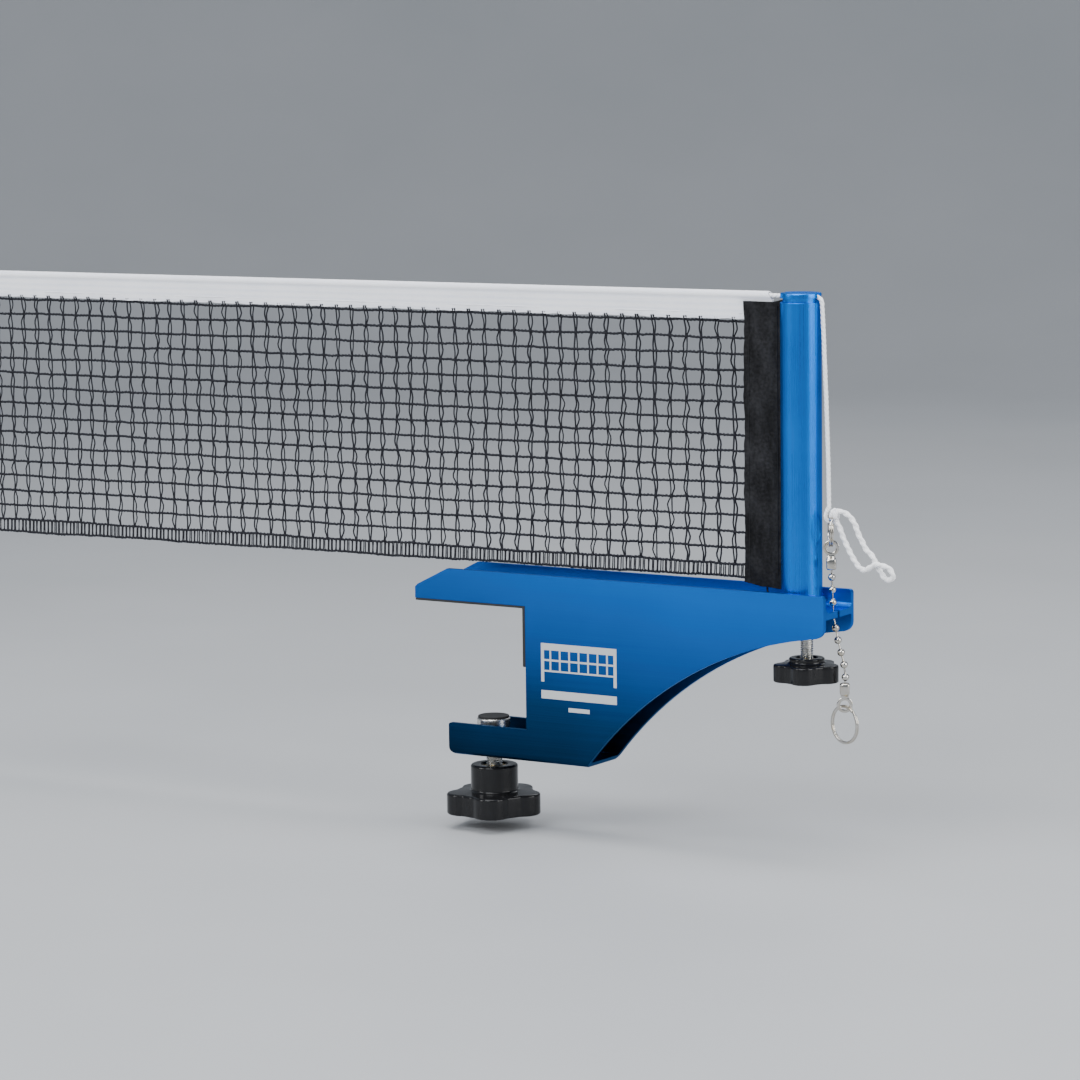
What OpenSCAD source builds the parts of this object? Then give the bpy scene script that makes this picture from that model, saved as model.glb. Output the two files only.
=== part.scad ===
// Clamp-on net post for a table tennis table: an extruded aluminium bracket, its clamping screw,
// a height-adjustable post, the cord and bead-chain tensioner, and the end of the net.
// Frame: x = 0 at the table's side edge, +x outwards to the post, y = 0 on the bracket's middle
// plane, z = 0 on the table's top. All sizes are millimetres.

/* [Bracket] */
// Width of the bracket over its two side plates
bracket_width = 29; // [27:0.5:32]
// Thickness of each side plate
plate_wall = 2.3; // [2:0.1:2.6]
// Height of the side plates' top edge above the table
plate_top = 16.3; // [15.5:0.1:17]
// Height of the underside of the web that carries the post
web_low = 5.2; // [4.8:0.1:5.6]
// Height of the top of the web
web_high = 8.2; // [7.8:0.1:8.6]
// Lowest face of the bracket
bracket_low = -73.4; // [-75:0.1:-72]
// Thickness of the wall under the lower arm
floor_wall = 2.2; // [2:0.1:2.6]
// End of the upper arm that lies on the table
upper_arm_x = -60; // [-64:1:-56]
// End of the lower arm under the table
lower_arm_x = -41.8; // [-44:0.2:-40]
// Outer end of the bracket
bracket_end_x = 162; // [160:0.5:164]
// Top of the lower arm, which is the bottom of the jaw
jaw_low = -58; // [-60:0.5:-56]
// Back of the jaw
jaw_back_x = 2.3; // [2:0.1:2.6]

/* [Clamp screw] */
// Distance of the clamp screw from the table edge
clamp_x = -25.5; // [-27:0.5:-24]
// Radius of the clamp screw, M8
clamp_screw_r = 3.95; // [3.9:0.01:3.97]
// Height of the pressure pad's face
pad_face = -55.3; // [-55.5:0.1:-55]
// Radius of the pressure pad
pad_r = 8; // [7:0.5:9]
// Radius of the circle that the knob's lobes are centred on
clamp_lobe_ring = 15; // [14:0.5:16]
// Radius of each lobe of the knob
clamp_lobe_r = 8.4; // [8:0.1:8.8]

/* [Post] */
// Distance of the post's axis from the table edge
post_x = 143.1; // [142.8:0.1:143.4]
// Outer radius of the post
post_r = 9.4; // [9.3:0.05:9.5]
// Lower end of the post
post_low = 12.3; // [12:0.1:13]
// Upper end of the extruded tube
post_high = 147.8; // [147:0.1:148]
// Top of the cap, level with the cord
cap_top = 152; // [151.8:0.1:152.2]

/* [Height screw] */
// Distance of the height screw from the table edge
height_x = 145.5; // [145.3:0.1:145.6]
// Radius of the height screw, M6
height_screw_r = 3; // [2.97:0.01:3.03]
// Radius of the circle that the small knob's lobes are centred on
height_lobe_ring = 10; // [9.5:0.1:10.2]
// Radius of each lobe of the small knob
height_lobe_r = 5.6; // [5.4:0.1:5.7]

/* [Net] */
// End of the net that is modelled, away from the post
net_end_x = -335; // [-360:5:-200]
// Height of the net's top edge, the height that the rules give
net_top = 152.5; // [152:0.1:153]
// Drop of the net's far end below its height at the post
net_sag = 2; // [1:0.5:3]

/* [Chain and cord] */
// Diameter of a bead of the chain
bead_d = 3.5; // [3.2:0.1:3.6]
// Diameter of the wire between two beads
link_d = 0.9; // [0.7:0.1:1]
// Diameter of the tension cord
cord_d = 2.2; // [2:0.1:2.3]

/* [Hidden] */
$fn = 72;

slip = 0.05;                        // radial clearance of a running fit
over = 1;                           // how far a cutter runs past the face it cuts
half_width = bracket_width / 2;
gap_half = half_width - plate_wall; // half the distance between the side plates
seat_z = 1.2;                       // underside of the upper arm, on the rubber seat

// The bracket's concave lower edge is an arc of a big circle
arc_x = 181.3;
arc_z = -186.7;
arc_r = 184.9;
end_r = 5;
end_cx = bracket_end_x - end_r;
end_cz = arc_z + sqrt(pow(arc_r + end_r, 2) - pow(end_cx - arc_x, 2));

// Chain slot in the outer end of the web
slot_x = 159.3;
slit_w = 1.9;
seat_bead_z = 6.05;
bead_pitch = 5.75;
chain_lean = 0.25;
pocket_r = 2.2;
pocket_z = 7.6;

// Clamp screw, from its tip down to the end in the knob
pad_low = pad_face - 6;
pad_plate_top = pad_face - 1;
clip_low = pad_plate_top - 2.2;
clip_t = 0.8;
tip_r = 2.5;
clamp_hub_top = -78.85;
clamp_hub_r = 11.4;
clamp_lobe_top = -92.1;
clamp_knob_low = -102.5;
clamp_knob_turn = -63.6;
clamp_bush_r = 6;
clamp_screw_low = -98;
bush_gap = 0.02;
bush_sunk = 0.9;                    // how far a bush stands below its knob's hub
nut_r = 6;
nut_flange_r = 8;

// Post, its guide and the height screw
cavity_r = 5;
luff_x = 137.2;
luff_r = 2;
luff_slit = 1.6;
neck_r = 8.2;
neck_high = 149.7;
cord_slot_w = 3;
cord_slot_z = 149;
spigot_r = cavity_r - slip;
spigot_hole_r = 4;
spigot_shank_r = 3.97;
spigot_low = 0.6;
spigot_high = 34;
flange_high = web_high + 1.6;
plug_low = 38;
plug_high = 46;
socket_r = 2.45;
socket_depth = 2.05;
screw_tip_r = 2.4;
height_shoulder = 36;
height_hub_top = -14.4;
height_hub_r = 8.2;
height_lobe_top = -17.3;
height_knob_low = -25.4;
height_knob_turn = -69.6;
height_bush_r = 4.6;
height_screw_low = -23;

// Net, tape and sleeve
cord_z = 150.3;
tape_bead_r = 2.2;
tape_low = 139.2;
tape_x = 128.5;
sleeve_x = 114.1;
mesh_x = 117;
mesh_low = 20;
net_tilt = asin(net_sag / (tape_x - net_end_x));

// Connectors and rings of the chain: the eyelets face 30 degrees off the net's plane
eyelet_turn = 30;
eyelet_r = 3.7;
eyelet_hole_r = 2.05;
eyelet_t = 0.9;
top_eye = [158.3, 0, 36.7];
tail_eye = [165, 0, -34.9];
ring_band = 1.2;
top_ring_r = 7.25;
top_ring_x = 158;
top_ring_z = 44.3;
top_ring_w = 2;
top_ring_turn = -58;
key_ring_r = 9;
key_ring_w = 1.4;
key_ring_z = -43.95;
key_ring_turn = -20;
tail_beads = [[160.4, 0, 0.2], [161.6, 0, -5.4], [163.2, 0, -10.9], [164.7, 0, -16.4], [165.4, 0, -22.1],
    [165.05, 0, -27.8]];

// Route of the tension cord: out of the tape's fold, over the post and down to the knot
cord_route = [[120, 0, 150.3], [126, 0, 150.3], [132, 0, 150.3], [138, 0, 150.3], [144, 0, 150.3],
    [148, 0, 150.3], [150.9, 0, 150.3], [152.1, 0, 150], [153.1, 0, 149.4], [153.8, 0, 148.4],
    [154, 0, 147.2], [154.3, 0, 142], [154.6, 0, 136], [154.9, 0, 130], [155.1, 0, 124],
    [155.4, 0, 118], [155.6, 0, 112], [155.9, 0, 106], [156.1, 0, 100], [156.3, 0, 94],
    [156.5, 0, 88], [156.7, 0, 82], [156.9, 0, 76], [157, 0, 70], [157.1, 0, 64],
    [157.2, 0, 59], [157.2, 0, 55.2]];
knot_at = [158, 0, 52];
knot_r = 3;

// Route of the bow that the cord's spare end is tied in, from the knot and back to it
bow_route = [[160, 0, 53], [163.4, 0.4, 53.4], [166.8, 0.8, 51.8], [169.4, 1, 48.8], [171.2, 1.1, 45],
    [172.8, 1.2, 41.2], [175, 1.2, 37.8], [177.6, 1.2, 34.8], [180, 1.2, 31.8], [181.6, 1.2, 28.6],
    [184, 0.9, 25.6], [186.6, 0.4, 23.7], [188.9, 0, 24], [189.6, -0.4, 26.4], [188, -0.8, 29],
    [185.2, -1.1, 30.4], [182.2, -1.2, 30.6], [179.2, -1.2, 29.4], [176.4, -1.2, 27.8],
    [173.4, -1.1, 28.4], [171, -1, 31.6], [168.6, -0.9, 35], [166.4, -0.8, 38.8], [164.6, -0.7, 42.6],
    [162.8, -0.5, 46.4], [160.4, -0.2, 50.2]];

// Route of the string that ties the net's lower edge to the foot of the post
tie_route = [[125, 0, 16.5], [125.2, 0, 14.8], [126.4, 0, 13.5], [128.6, 0, 13.1], [131, 0, 13.1],
    [133.5, 0, 13.1]];

// Unit vector along v
function unit(v) = v / norm(v);

// Direction of a route at its point i, from the points before and after it
function heading(route, i) = unit(route[min(i + 1, len(route) - 1)] - route[max(i - 1, 0)]);

// One ring of a tube: points round the route, starting from the side that faces +y
function ring_points(centre, along, r, sides) =
    let (side = unit([0, 1, 0] - along * along[1]), lift = cross(along, side))
    [for (k = [0 : sides - 1]) centre + r * (cos(360 * k / sides) * side + sin(360 * k / sides) * lift)];

// A tube of radius r swept along a route, closed by a flat end at each end
module tube(route, r, sides = 8) {
    rings = len(route);
    points = [for (i = [0 : rings - 1]) each ring_points(route[i], heading(route, i), r, sides)];
    walls = [for (i = [0 : rings - 2], k = [0 : sides - 1])
        let (n = (k + 1) % sides)
        each [[i * sides + k, i * sides + n, (i + 1) * sides + k],
            [i * sides + n, (i + 1) * sides + n, (i + 1) * sides + k]]];
    ends = [[for (k = [sides - 1 : -1 : 0]) k], [for (k = [0 : sides - 1]) (rings - 1) * sides + k]];
    polyhedron(points, concat(walls, ends), convexity = 6);
}

// What is cut from a square corner at (x, z) to round it; sx and sz point out of the corner
module corner_cut(x, z, r, sx, sz) {
    difference() {
        translate([min(x - sx * r, x + sx * over), min(z - sz * r, z + sz * over)])
            square(r + over);
        translate([x - sx * r, z - sz * r])
            circle(r);
    }
}

// Side view of the bracket, with 2D y as height
module bracket_side() {
    difference() {
        polygon([[upper_arm_x, seat_z], [upper_arm_x, 7.2], [-41.6, plate_top],
            [bracket_end_x, plate_top], [bracket_end_x, bracket_low], [lower_arm_x, bracket_low],
            [lower_arm_x, jaw_low], [jaw_back_x, jaw_low], [jaw_back_x, seat_z]]);
        translate([arc_x, arc_z])
            circle(arc_r, $fn = 360);
        difference() {
            translate([end_cx, -12])
                square([end_r + over, end_cz + 12]);
            translate([end_cx, end_cz])
                circle(end_r);
        }
        corner_cut(bracket_end_x, plate_top, 1.5, 1, 1);
        corner_cut(upper_arm_x, 7.2, 1, -1, 1);
        corner_cut(lower_arm_x, bracket_low, 4, -1, -1);
        corner_cut(lower_arm_x, jaw_low, 1.2, -1, 1);
    }
}

// Cross-section of the bracket's extrusion, with 2D x as width and 2D y as height
module bracket_section() {
    difference() {
        translate([-half_width, bracket_low])
            square([bracket_width, plate_top - bracket_low]);
        corner_cut(-half_width, bracket_low, 3, -1, -1);
        corner_cut(half_width, bracket_low, 3, 1, -1);
        difference() {
            translate([-gap_half, bracket_low + floor_wall])
                square([2 * gap_half, web_low - bracket_low - floor_wall]);
            corner_cut(-gap_half, bracket_low + floor_wall, 1.2, -1, -1);
            corner_cut(gap_half, bracket_low + floor_wall, 1.2, 1, -1);
        }
        difference() {
            translate([-gap_half, web_high])
                square([2 * gap_half, plate_top - web_high + over]);
            corner_cut(-gap_half, web_high, 2.5, -1, -1);
            corner_cut(gap_half, web_high, 2.5, 1, -1);
        }
    }
}

// Slit and pocket at the web's outer end that catch a bead of the chain
module chain_slot() {
    translate([slot_x, -slit_w / 2, web_low - over])
        cube([bracket_end_x - slot_x + over, slit_w, web_high - web_low + 2 * over]);
    translate([slot_x, 0, web_low - over])
        cylinder(h = web_high - web_low + 2 * over, r = slit_w / 2);
    translate([slot_x, 0, web_low - over])
        cylinder(h = pocket_z - web_low + over, r = pocket_r);
}

module bracket() {
    color([0.06, 0.30, 0.62])
        difference() {
            intersection() {
                rotate([90, 0, 0])
                    linear_extrude(bracket_width + 2 * over, center = true)
                        bracket_side();
                translate([upper_arm_x - over, 0, 0])
                    rotate([90, 0, 90])
                        linear_extrude(bracket_end_x - upper_arm_x + 2 * over)
                            bracket_section();
            }
            translate([height_x, 0, web_low - over])
                cylinder(h = web_high - web_low + 2 * over, r = spigot_hole_r);
            translate([clamp_x, 0, bracket_low - over])
                cylinder(h = floor_wall + 2 * over, r = nut_r);
            chain_slot();
        }
}

// Rubber seat: a plate under the arm, a rib that locks it in the bracket and a lip down the jaw
module seat_pad() {
    rib = 2 * gap_half - 0.1;
    lip_low = -28;
    color([0.05, 0.05, 0.05])
        union() {
            translate([upper_arm_x, -half_width, 0])
                cube([jaw_back_x - upper_arm_x, bracket_width, seat_z]);
            translate([upper_arm_x, -rib / 2, seat_z])
                cube([jaw_back_x - upper_arm_x, rib, web_low - seat_z]);
            translate([0.6, -half_width, lip_low])
                cube([jaw_back_x - 0.6, bracket_width, -lip_low + over / 2]);
            translate([jaw_back_x - over, -rib / 2, lip_low])
                cube([3 + over, rib, web_low - lip_low]);
        }
}

// Flanged steel insert in the floor of the lower arm, threaded for the clamp screw
module clamp_nut() {
    floor_top = bracket_low + floor_wall;
    color([0.72, 0.72, 0.70])
        difference() {
            union() {
                translate([clamp_x, 0, bracket_low])
                    cylinder(h = floor_wall + over, r = nut_r);
                translate([clamp_x, 0, floor_top])
                    cylinder(h = 2, r = nut_flange_r);
            }
            translate([clamp_x, 0, bracket_low - over])
                cylinder(h = floor_wall + 2 + 2 * over, r = clamp_screw_r + slip);
        }
}

// Steel guide that the post slides on, threaded for the height screw
module guide_spigot() {
    color([0.70, 0.71, 0.72])
        translate([height_x, 0, 0])
            difference() {
                union() {
                    translate([0, 0, spigot_low])
                        cylinder(h = web_high - spigot_low + over, r = spigot_shank_r);
                    translate([0, 0, web_high])
                        cylinder(h = flange_high - web_high, r = 6.5);
                    translate([0, 0, web_high])
                        cylinder(h = spigot_high - web_high, r = spigot_r);
                }
                translate([0, 0, spigot_low - over])
                    cylinder(h = spigot_high - spigot_low + 2 * over, r = height_screw_r + slip);
            }
}

// Hexagon nut that holds the guide to the web
module spigot_nut() {
    across_flats = 13;
    color([0.70, 0.71, 0.72])
        translate([height_x, 0, seat_z])
            difference() {
                cylinder(h = web_low - seat_z, r = across_flats / 2 / cos(30), $fn = 6);
                translate([0, 0, -over])
                    cylinder(h = web_low - seat_z + 2 * over, r = spigot_hole_r);
            }
}

// Round steel pad on the tip of the clamp screw, with a pocket on top for its clip
module pressure_pad() {
    color([0.75, 0.75, 0.73])
        translate([clamp_x, 0, 0])
            difference() {
                rotate_extrude()
                    difference() {
                        translate([0, pad_low])
                            square([pad_r, pad_plate_top - pad_low]);
                        corner_cut(pad_r, pad_low, 1.5, 1, -1);
                        corner_cut(pad_r, pad_plate_top, 0.6, 1, 1);
                    }
                translate([0, 0, pad_low - over])
                    cylinder(h = 6 + over, r = tip_r + slip);
                translate([0, 0, clip_low - slip])
                    cylinder(h = 6, r = 5);
            }
}

// Thin facing on the pad, which keeps it from marking the table
module pad_facing() {
    color([0.05, 0.05, 0.05])
        translate([clamp_x, 0, pad_plate_top])
            cylinder(h = pad_face - pad_plate_top, r = pad_r - 0.5);
}

// Clamp screw: thread, shoulder under the pad, and a grooved tip that the clip holds
module clamp_screw() {
    shoulder = pad_low - slip;
    groove_r = 2;
    color([0.75, 0.75, 0.73])
        translate([clamp_x, 0, 0])
            difference() {
                union() {
                    translate([0, 0, clamp_screw_low])
                        cylinder(h = shoulder - clamp_screw_low, r = clamp_screw_r);
                    translate([0, 0, shoulder - over])
                        cylinder(h = pad_plate_top - 0.2 - shoulder + over, r = tip_r);
                }
                translate([0, 0, clip_low])
                    rotate_extrude()
                        translate([groove_r, 0])
                            square([3, clip_t]);
            }
}

// Open spring clip in the groove of the tip
module pad_clip() {
    color([0.35, 0.35, 0.36])
        translate([clamp_x, 0, clip_low + 0.03])
            difference() {
                cylinder(h = clip_t - 0.06, r = 4.2);
                translate([0, 0, -over])
                    cylinder(h = clip_t + 2 * over, r = 2.04);
                translate([0, -1, -over])
                    cube([6, 2, clip_t + 2 * over]);
            }
}

// Plan of a star knob: a disc with five round lobes
module knob_plan(lobe_ring, lobe_r, turn) {
    circle(lobe_ring + lobe_r * 0.5);
    for (k = [0 : 4])
        rotate(turn + 72 * k)
            translate([lobe_ring, 0])
                circle(lobe_r);
}

// Star knob: a round hub on a disc with five lobes, bored for its bush from above
module star_knob(hub_r, hub_top, lobe_top, low, lobe_ring, lobe_r, turn, bush_r, bush_low) {
    difference() {
        union() {
            translate([0, 0, lobe_top - over])
                cylinder(h = hub_top - lobe_top + over, r = hub_r);
            translate([0, 0, low])
                linear_extrude(lobe_top - low)
                    knob_plan(lobe_ring, lobe_r, turn);
        }
        translate([0, 0, bush_low])
            cylinder(h = hub_top - bush_low + over, r = bush_r);
    }
}

module clamp_knob() {
    color([0.03, 0.03, 0.03])
        translate([clamp_x, 0, 0])
            star_knob(clamp_hub_r, clamp_hub_top, clamp_lobe_top, clamp_knob_low, clamp_lobe_ring,
                clamp_lobe_r, clamp_knob_turn, clamp_bush_r, clamp_screw_low);
}

// Brass bush moulded into a knob round its screw
module knob_bush(r, bore, low, high) {
    color([0.70, 0.58, 0.32])
        translate([0, 0, low])
            difference() {
                cylinder(h = high - low, r = r);
                translate([0, 0, -over])
                    cylinder(h = high - low + 2 * over, r = bore);
            }
}

module clamp_knob_bush() {
    translate([clamp_x, 0, 0])
        knob_bush(clamp_bush_r, clamp_screw_r + bush_gap, clamp_screw_low, clamp_hub_top - bush_sunk);
}

// Extruded post: off-centre round cavity, and a keyhole groove that takes the net's edge
module post_tube() {
    height = post_high - post_low;
    color([0.05, 0.36, 0.75])
        difference() {
            translate([post_x, 0, post_low])
                cylinder(h = height, r = post_r);
            translate([height_x, 0, post_low - over])
                cylinder(h = height + 2 * over, r = cavity_r);
            translate([luff_x, 0, post_low - over])
                cylinder(h = height + 2 * over, r = luff_r);
            translate([post_x - post_r - over, -luff_slit / 2, post_low - over])
                cube([luff_x - post_x + post_r + over, luff_slit, height + 2 * over]);
        }
}

// Cap: plug, neck and rim, with the cord's slot across it and the end of the net groove
module post_cap() {
    color([0.05, 0.34, 0.72])
        difference() {
            union() {
                translate([height_x, 0, 140])
                    cylinder(h = post_high - 140 + over, r = spigot_r);
                translate([post_x, 0, post_high])
                    cylinder(h = neck_high - post_high + over, r = neck_r);
                translate([post_x, 0, neck_high])
                    rotate_extrude()
                        difference() {
                            square([post_r, cap_top - neck_high]);
                            corner_cut(post_r, cap_top - neck_high, 0.6, 1, 1);
                        }
            }
            translate([post_x - post_r - over, -cord_slot_w / 2, cord_slot_z])
                cube([2 * (post_r + over), cord_slot_w, cap_top]);
            translate([luff_x, 0, post_high - over])
                cylinder(h = cap_top, r = luff_r);
            translate([post_x - post_r - over, -luff_slit / 2, post_high - over])
                cube([luff_x - post_x + post_r + over, luff_slit, cap_top]);
        }
}

// Plug pressed into the post's cavity, with a blind socket for the height screw's tip
module lift_plug() {
    color([0.62, 0.63, 0.64])
        translate([height_x, 0, plug_low])
            difference() {
                cylinder(h = plug_high - plug_low, r = cavity_r);
                translate([0, 0, -over])
                    cylinder(h = socket_depth + over, r = socket_r);
            }
}

// Rod in the hem of the sleeve, which keeps it in the post's groove
module sleeve_rod() {
    color([0.12, 0.12, 0.12])
        translate([luff_x, 0, 16.2])
            cylinder(h = 132.3, r = 1.5);
}

// Black sleeve at the net's end: two leaves over the net and tape, and a tube round the rod
module net_sleeve() {
    leaf = 1.3;
    slab = 0.65;
    color([0.08, 0.08, 0.09])
        difference() {
            union() {
                rotate([90, 0, 0])
                    linear_extrude(2 * leaf, center = true)
                        polygon([[sleeve_x, 18.2], [132.8, 15.8], [132.8, 147.5], [sleeve_x, 147.5]]);
                rotate([90, 0, 0])
                    linear_extrude(2 * slab, center = true)
                        polygon([[131, 16.2], [luff_x, 16.2], [luff_x, 148.5], [131, 148.5]]);
                translate([luff_x, 0, 16.2])
                    cylinder(h = 132.3, r = 1.9);
            }
            translate([luff_x, 0, 0])
                cylinder(h = cap_top, r = 1.55);
            translate([sleeve_x - over, -0.75, 19.2])
                cube([tape_x + 0.5 - sleeve_x + over, 1.5, cap_top]);
        }
}

// White tape folded over the cord along the top of the net
module net_tape() {
    color([0.93, 0.93, 0.92])
        translate([tape_x, 0, cord_z])
            rotate([0, -net_tilt, 0])
                translate([net_end_x - tape_x, 0, -cord_z])
                    rotate([90, 0, 90])
                        linear_extrude(tape_x - net_end_x)
                            difference() {
                                union() {
                                    translate([0, cord_z])
                                        circle(tape_bead_r);
                                    translate([-0.6, tape_low])
                                        square([1.2, cord_z - tape_low]);
                                }
                                translate([0, cord_z])
                                    circle(cord_d / 2 + 0.1);
                            }
}

// Net, as the thin sheet that its threads fill
module net_mesh() {
    drop = net_sag * (tape_x - mesh_x) / (tape_x - net_end_x);
    color([0.10, 0.11, 0.16])
        rotate([90, 0, 0])
            linear_extrude(0.6, center = true)
                polygon([[net_end_x, mesh_low - net_sag - 1.6], [mesh_x, mesh_low],
                    [mesh_x, tape_low - drop], [net_end_x, tape_low - net_sag]]);
}

module bottom_tie() {
    color([0.05, 0.05, 0.06])
        tube(tie_route, 0.5);
}

// Height screw: thread, and a plain tip that turns in the lift plug
module height_screw() {
    color([0.74, 0.74, 0.72])
        translate([height_x, 0, 0])
            union() {
                translate([0, 0, height_screw_low])
                    cylinder(h = height_shoulder - height_screw_low, r = height_screw_r);
                translate([0, 0, 35])
                    cylinder(h = 5, r = screw_tip_r);
            }
}

module height_knob() {
    color([0.03, 0.03, 0.03])
        translate([height_x, 0, 0])
            star_knob(height_hub_r, height_hub_top, height_lobe_top, height_knob_low, height_lobe_ring,
                height_lobe_r, height_knob_turn, height_bush_r, height_screw_low);
}

module height_knob_bush() {
    translate([height_x, 0, 0])
        knob_bush(height_bush_r, height_screw_r + bush_gap, height_screw_low, height_hub_top - bush_sunk);
}

module tension_cord() {
    color([0.92, 0.92, 0.90])
        tube(cord_route, cord_d / 2);
}

module cord_knot() {
    color([0.92, 0.92, 0.90])
        translate(knot_at)
            sphere(knot_r);
}

module cord_bow() {
    color([0.92, 0.92, 0.90])
        tube(bow_route, cord_d / 2);
}

// Flat ring standing on edge, with its axis along y
module split_ring(outer_r, width) {
    rotate([90, 0, 0])
        rotate_extrude()
            translate([outer_r - ring_band, -width / 2])
                square([ring_band, width]);
}

module top_ring() {
    color([0.80, 0.78, 0.70])
        translate([top_ring_x, 0, top_ring_z])
            rotate(top_ring_turn)
                split_ring(top_ring_r, top_ring_w);
}

module key_ring() {
    color([0.80, 0.79, 0.74])
        translate([tail_eye[0], 0, key_ring_z])
            rotate(key_ring_turn)
                split_ring(key_ring_r, key_ring_w);
}

// Sheet-metal connector: an eyelet, and a folded box round the chain's end bead.
// side is 1 with the box above the eyelet and -1 with the box below it.
module connector(side) {
    box_w = 4.6;
    box_t = 4.4;
    box_h = 5.4;
    wall = 0.4;
    box_near = 4.6;
    hollow_low = side > 0 ? box_near + wall : -box_near - box_h - over;
    rotate(eyelet_turn)
        difference() {
            union() {
                rotate([90, 0, 0])
                    cylinder(h = eyelet_t, r = eyelet_r, center = true);
                translate([-1.6, -eyelet_t / 2, side > 0 ? 0 : -box_near - wall])
                    cube([3.2, eyelet_t, box_near + wall]);
                translate([-box_w / 2, -box_t / 2, side > 0 ? box_near : -box_near - box_h])
                    cube([box_w, box_t, box_h]);
            }
            rotate([90, 0, 0])
                cylinder(h = 3, r = eyelet_hole_r, center = true);
            translate([-box_w / 2 + wall, -box_t / 2 + wall, hollow_low])
                cube([box_w - 2 * wall, box_t - 2 * wall, box_h - wall + over]);
        }
}

module top_connector() {
    color([0.82, 0.80, 0.73])
        translate(top_eye)
            connector(-1);
}

module tail_connector() {
    color([0.82, 0.80, 0.73])
        translate(tail_eye)
            connector(1);
}

// Bead chain through a list of bead centres, with a wire from each bead to the next
module bead_chain(beads, steps) {
    for (at = beads)
        translate(at)
            sphere(bead_d / 2);
    for (i = [0 : steps - 1]) {
        span = beads[i + 1] - beads[i];
        translate(beads[i])
            rotate([0, atan2(span[0], span[2]), 0])
                cylinder(h = norm(span), r = link_d / 2);
    }
}

module chain_upper() {
    beads = [for (i = [0 : 4]) [slot_x - chain_lean * i, 0, seat_bead_z + bead_pitch * i]];
    color([0.80, 0.79, 0.74])
        union()
            bead_chain(beads, 4);
}

// Free end of the chain below the slot; its first wire starts just under the seated bead
module chain_tail() {
    start = [slot_x, 0, seat_bead_z];
    first = tail_beads[0] - start;
    first_gap = bead_d / 2 + 0.1;
    color([0.80, 0.79, 0.74])
        union() {
            bead_chain(tail_beads, len(tail_beads) - 1);
            translate(start + first_gap * unit(first))
                rotate([0, atan2(first[0], first[2]), 0])
                    cylinder(h = norm(first) - first_gap, r = link_d / 2);
        }
}

bracket();
seat_pad();
clamp_nut();
guide_spigot();
spigot_nut();
pressure_pad();
pad_facing();
clamp_screw();
pad_clip();
clamp_knob();
clamp_knob_bush();
post_tube();
post_cap();
lift_plug();
sleeve_rod();
net_sleeve();
net_tape();
net_mesh();
bottom_tie();
height_screw();
height_knob();
height_knob_bush();
tension_cord();
cord_knot();
cord_bow();
top_ring();
top_connector();
chain_upper();
chain_tail();
tail_connector();
key_ring();
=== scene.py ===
"""Looks of a table tennis net clamp: anodised bracket and post, moulded knobs, threaded screws,
bead chain, twisted cord, and the sewn end of the net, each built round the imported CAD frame."""
import math

import bmesh
import bpy
import numpy as np
from mathutils import Matrix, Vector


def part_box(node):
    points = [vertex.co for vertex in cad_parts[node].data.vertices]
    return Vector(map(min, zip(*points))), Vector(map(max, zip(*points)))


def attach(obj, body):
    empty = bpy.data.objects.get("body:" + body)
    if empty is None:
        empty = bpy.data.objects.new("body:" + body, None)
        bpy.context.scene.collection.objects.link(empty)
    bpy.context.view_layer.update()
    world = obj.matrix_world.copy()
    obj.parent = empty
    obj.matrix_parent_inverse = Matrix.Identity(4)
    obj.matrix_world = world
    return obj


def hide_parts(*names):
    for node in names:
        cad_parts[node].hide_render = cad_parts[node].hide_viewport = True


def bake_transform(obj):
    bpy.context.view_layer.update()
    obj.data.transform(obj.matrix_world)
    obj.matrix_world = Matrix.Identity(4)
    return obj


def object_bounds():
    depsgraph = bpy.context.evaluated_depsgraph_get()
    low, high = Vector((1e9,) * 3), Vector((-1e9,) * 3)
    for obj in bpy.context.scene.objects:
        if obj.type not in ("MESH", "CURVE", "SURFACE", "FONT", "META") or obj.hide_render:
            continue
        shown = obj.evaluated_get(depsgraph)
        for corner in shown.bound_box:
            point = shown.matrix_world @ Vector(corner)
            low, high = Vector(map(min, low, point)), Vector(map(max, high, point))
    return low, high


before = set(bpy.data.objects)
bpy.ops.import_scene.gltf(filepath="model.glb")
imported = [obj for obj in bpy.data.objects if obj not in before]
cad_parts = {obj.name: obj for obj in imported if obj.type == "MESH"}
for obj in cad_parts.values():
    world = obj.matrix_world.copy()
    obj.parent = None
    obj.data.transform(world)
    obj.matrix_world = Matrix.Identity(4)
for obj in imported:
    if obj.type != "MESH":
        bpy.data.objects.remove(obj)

MM = 0.001
CAD_BOX = [list(corner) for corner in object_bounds()]
RNG = np.random.default_rng(26)
TURN = 2 * np.pi
# Points closer than this are merged: on new shells, and on copies of CAD nodes
SHELL_GAP, CAD_GAP = 0.0001 * MM, 0.002 * MM


def span(node):
    """Lowest and highest corner of a CAD node, as arrays in metres."""
    low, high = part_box(node)
    return np.array(low, float), np.array(high, float)


def middle(node):
    """Centre of a CAD node's box."""
    low, high = span(node)
    return (low + high) / 2


def added(name, data):
    """A new object in the scene that holds a mesh, a light or a camera."""
    thing = bpy.data.objects.new(name, data)
    bpy.context.scene.collection.objects.link(thing)
    return thing


def aimed(right, up, back, place):
    """Matrix of a camera or a light, from its three directions and its place."""
    matrix = Matrix.Identity(4)
    for row in range(3):
        matrix[row] = (right[row], up[row], back[row], place[row])
    return matrix


# ------------------------------------------------------------------ camera

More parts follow.
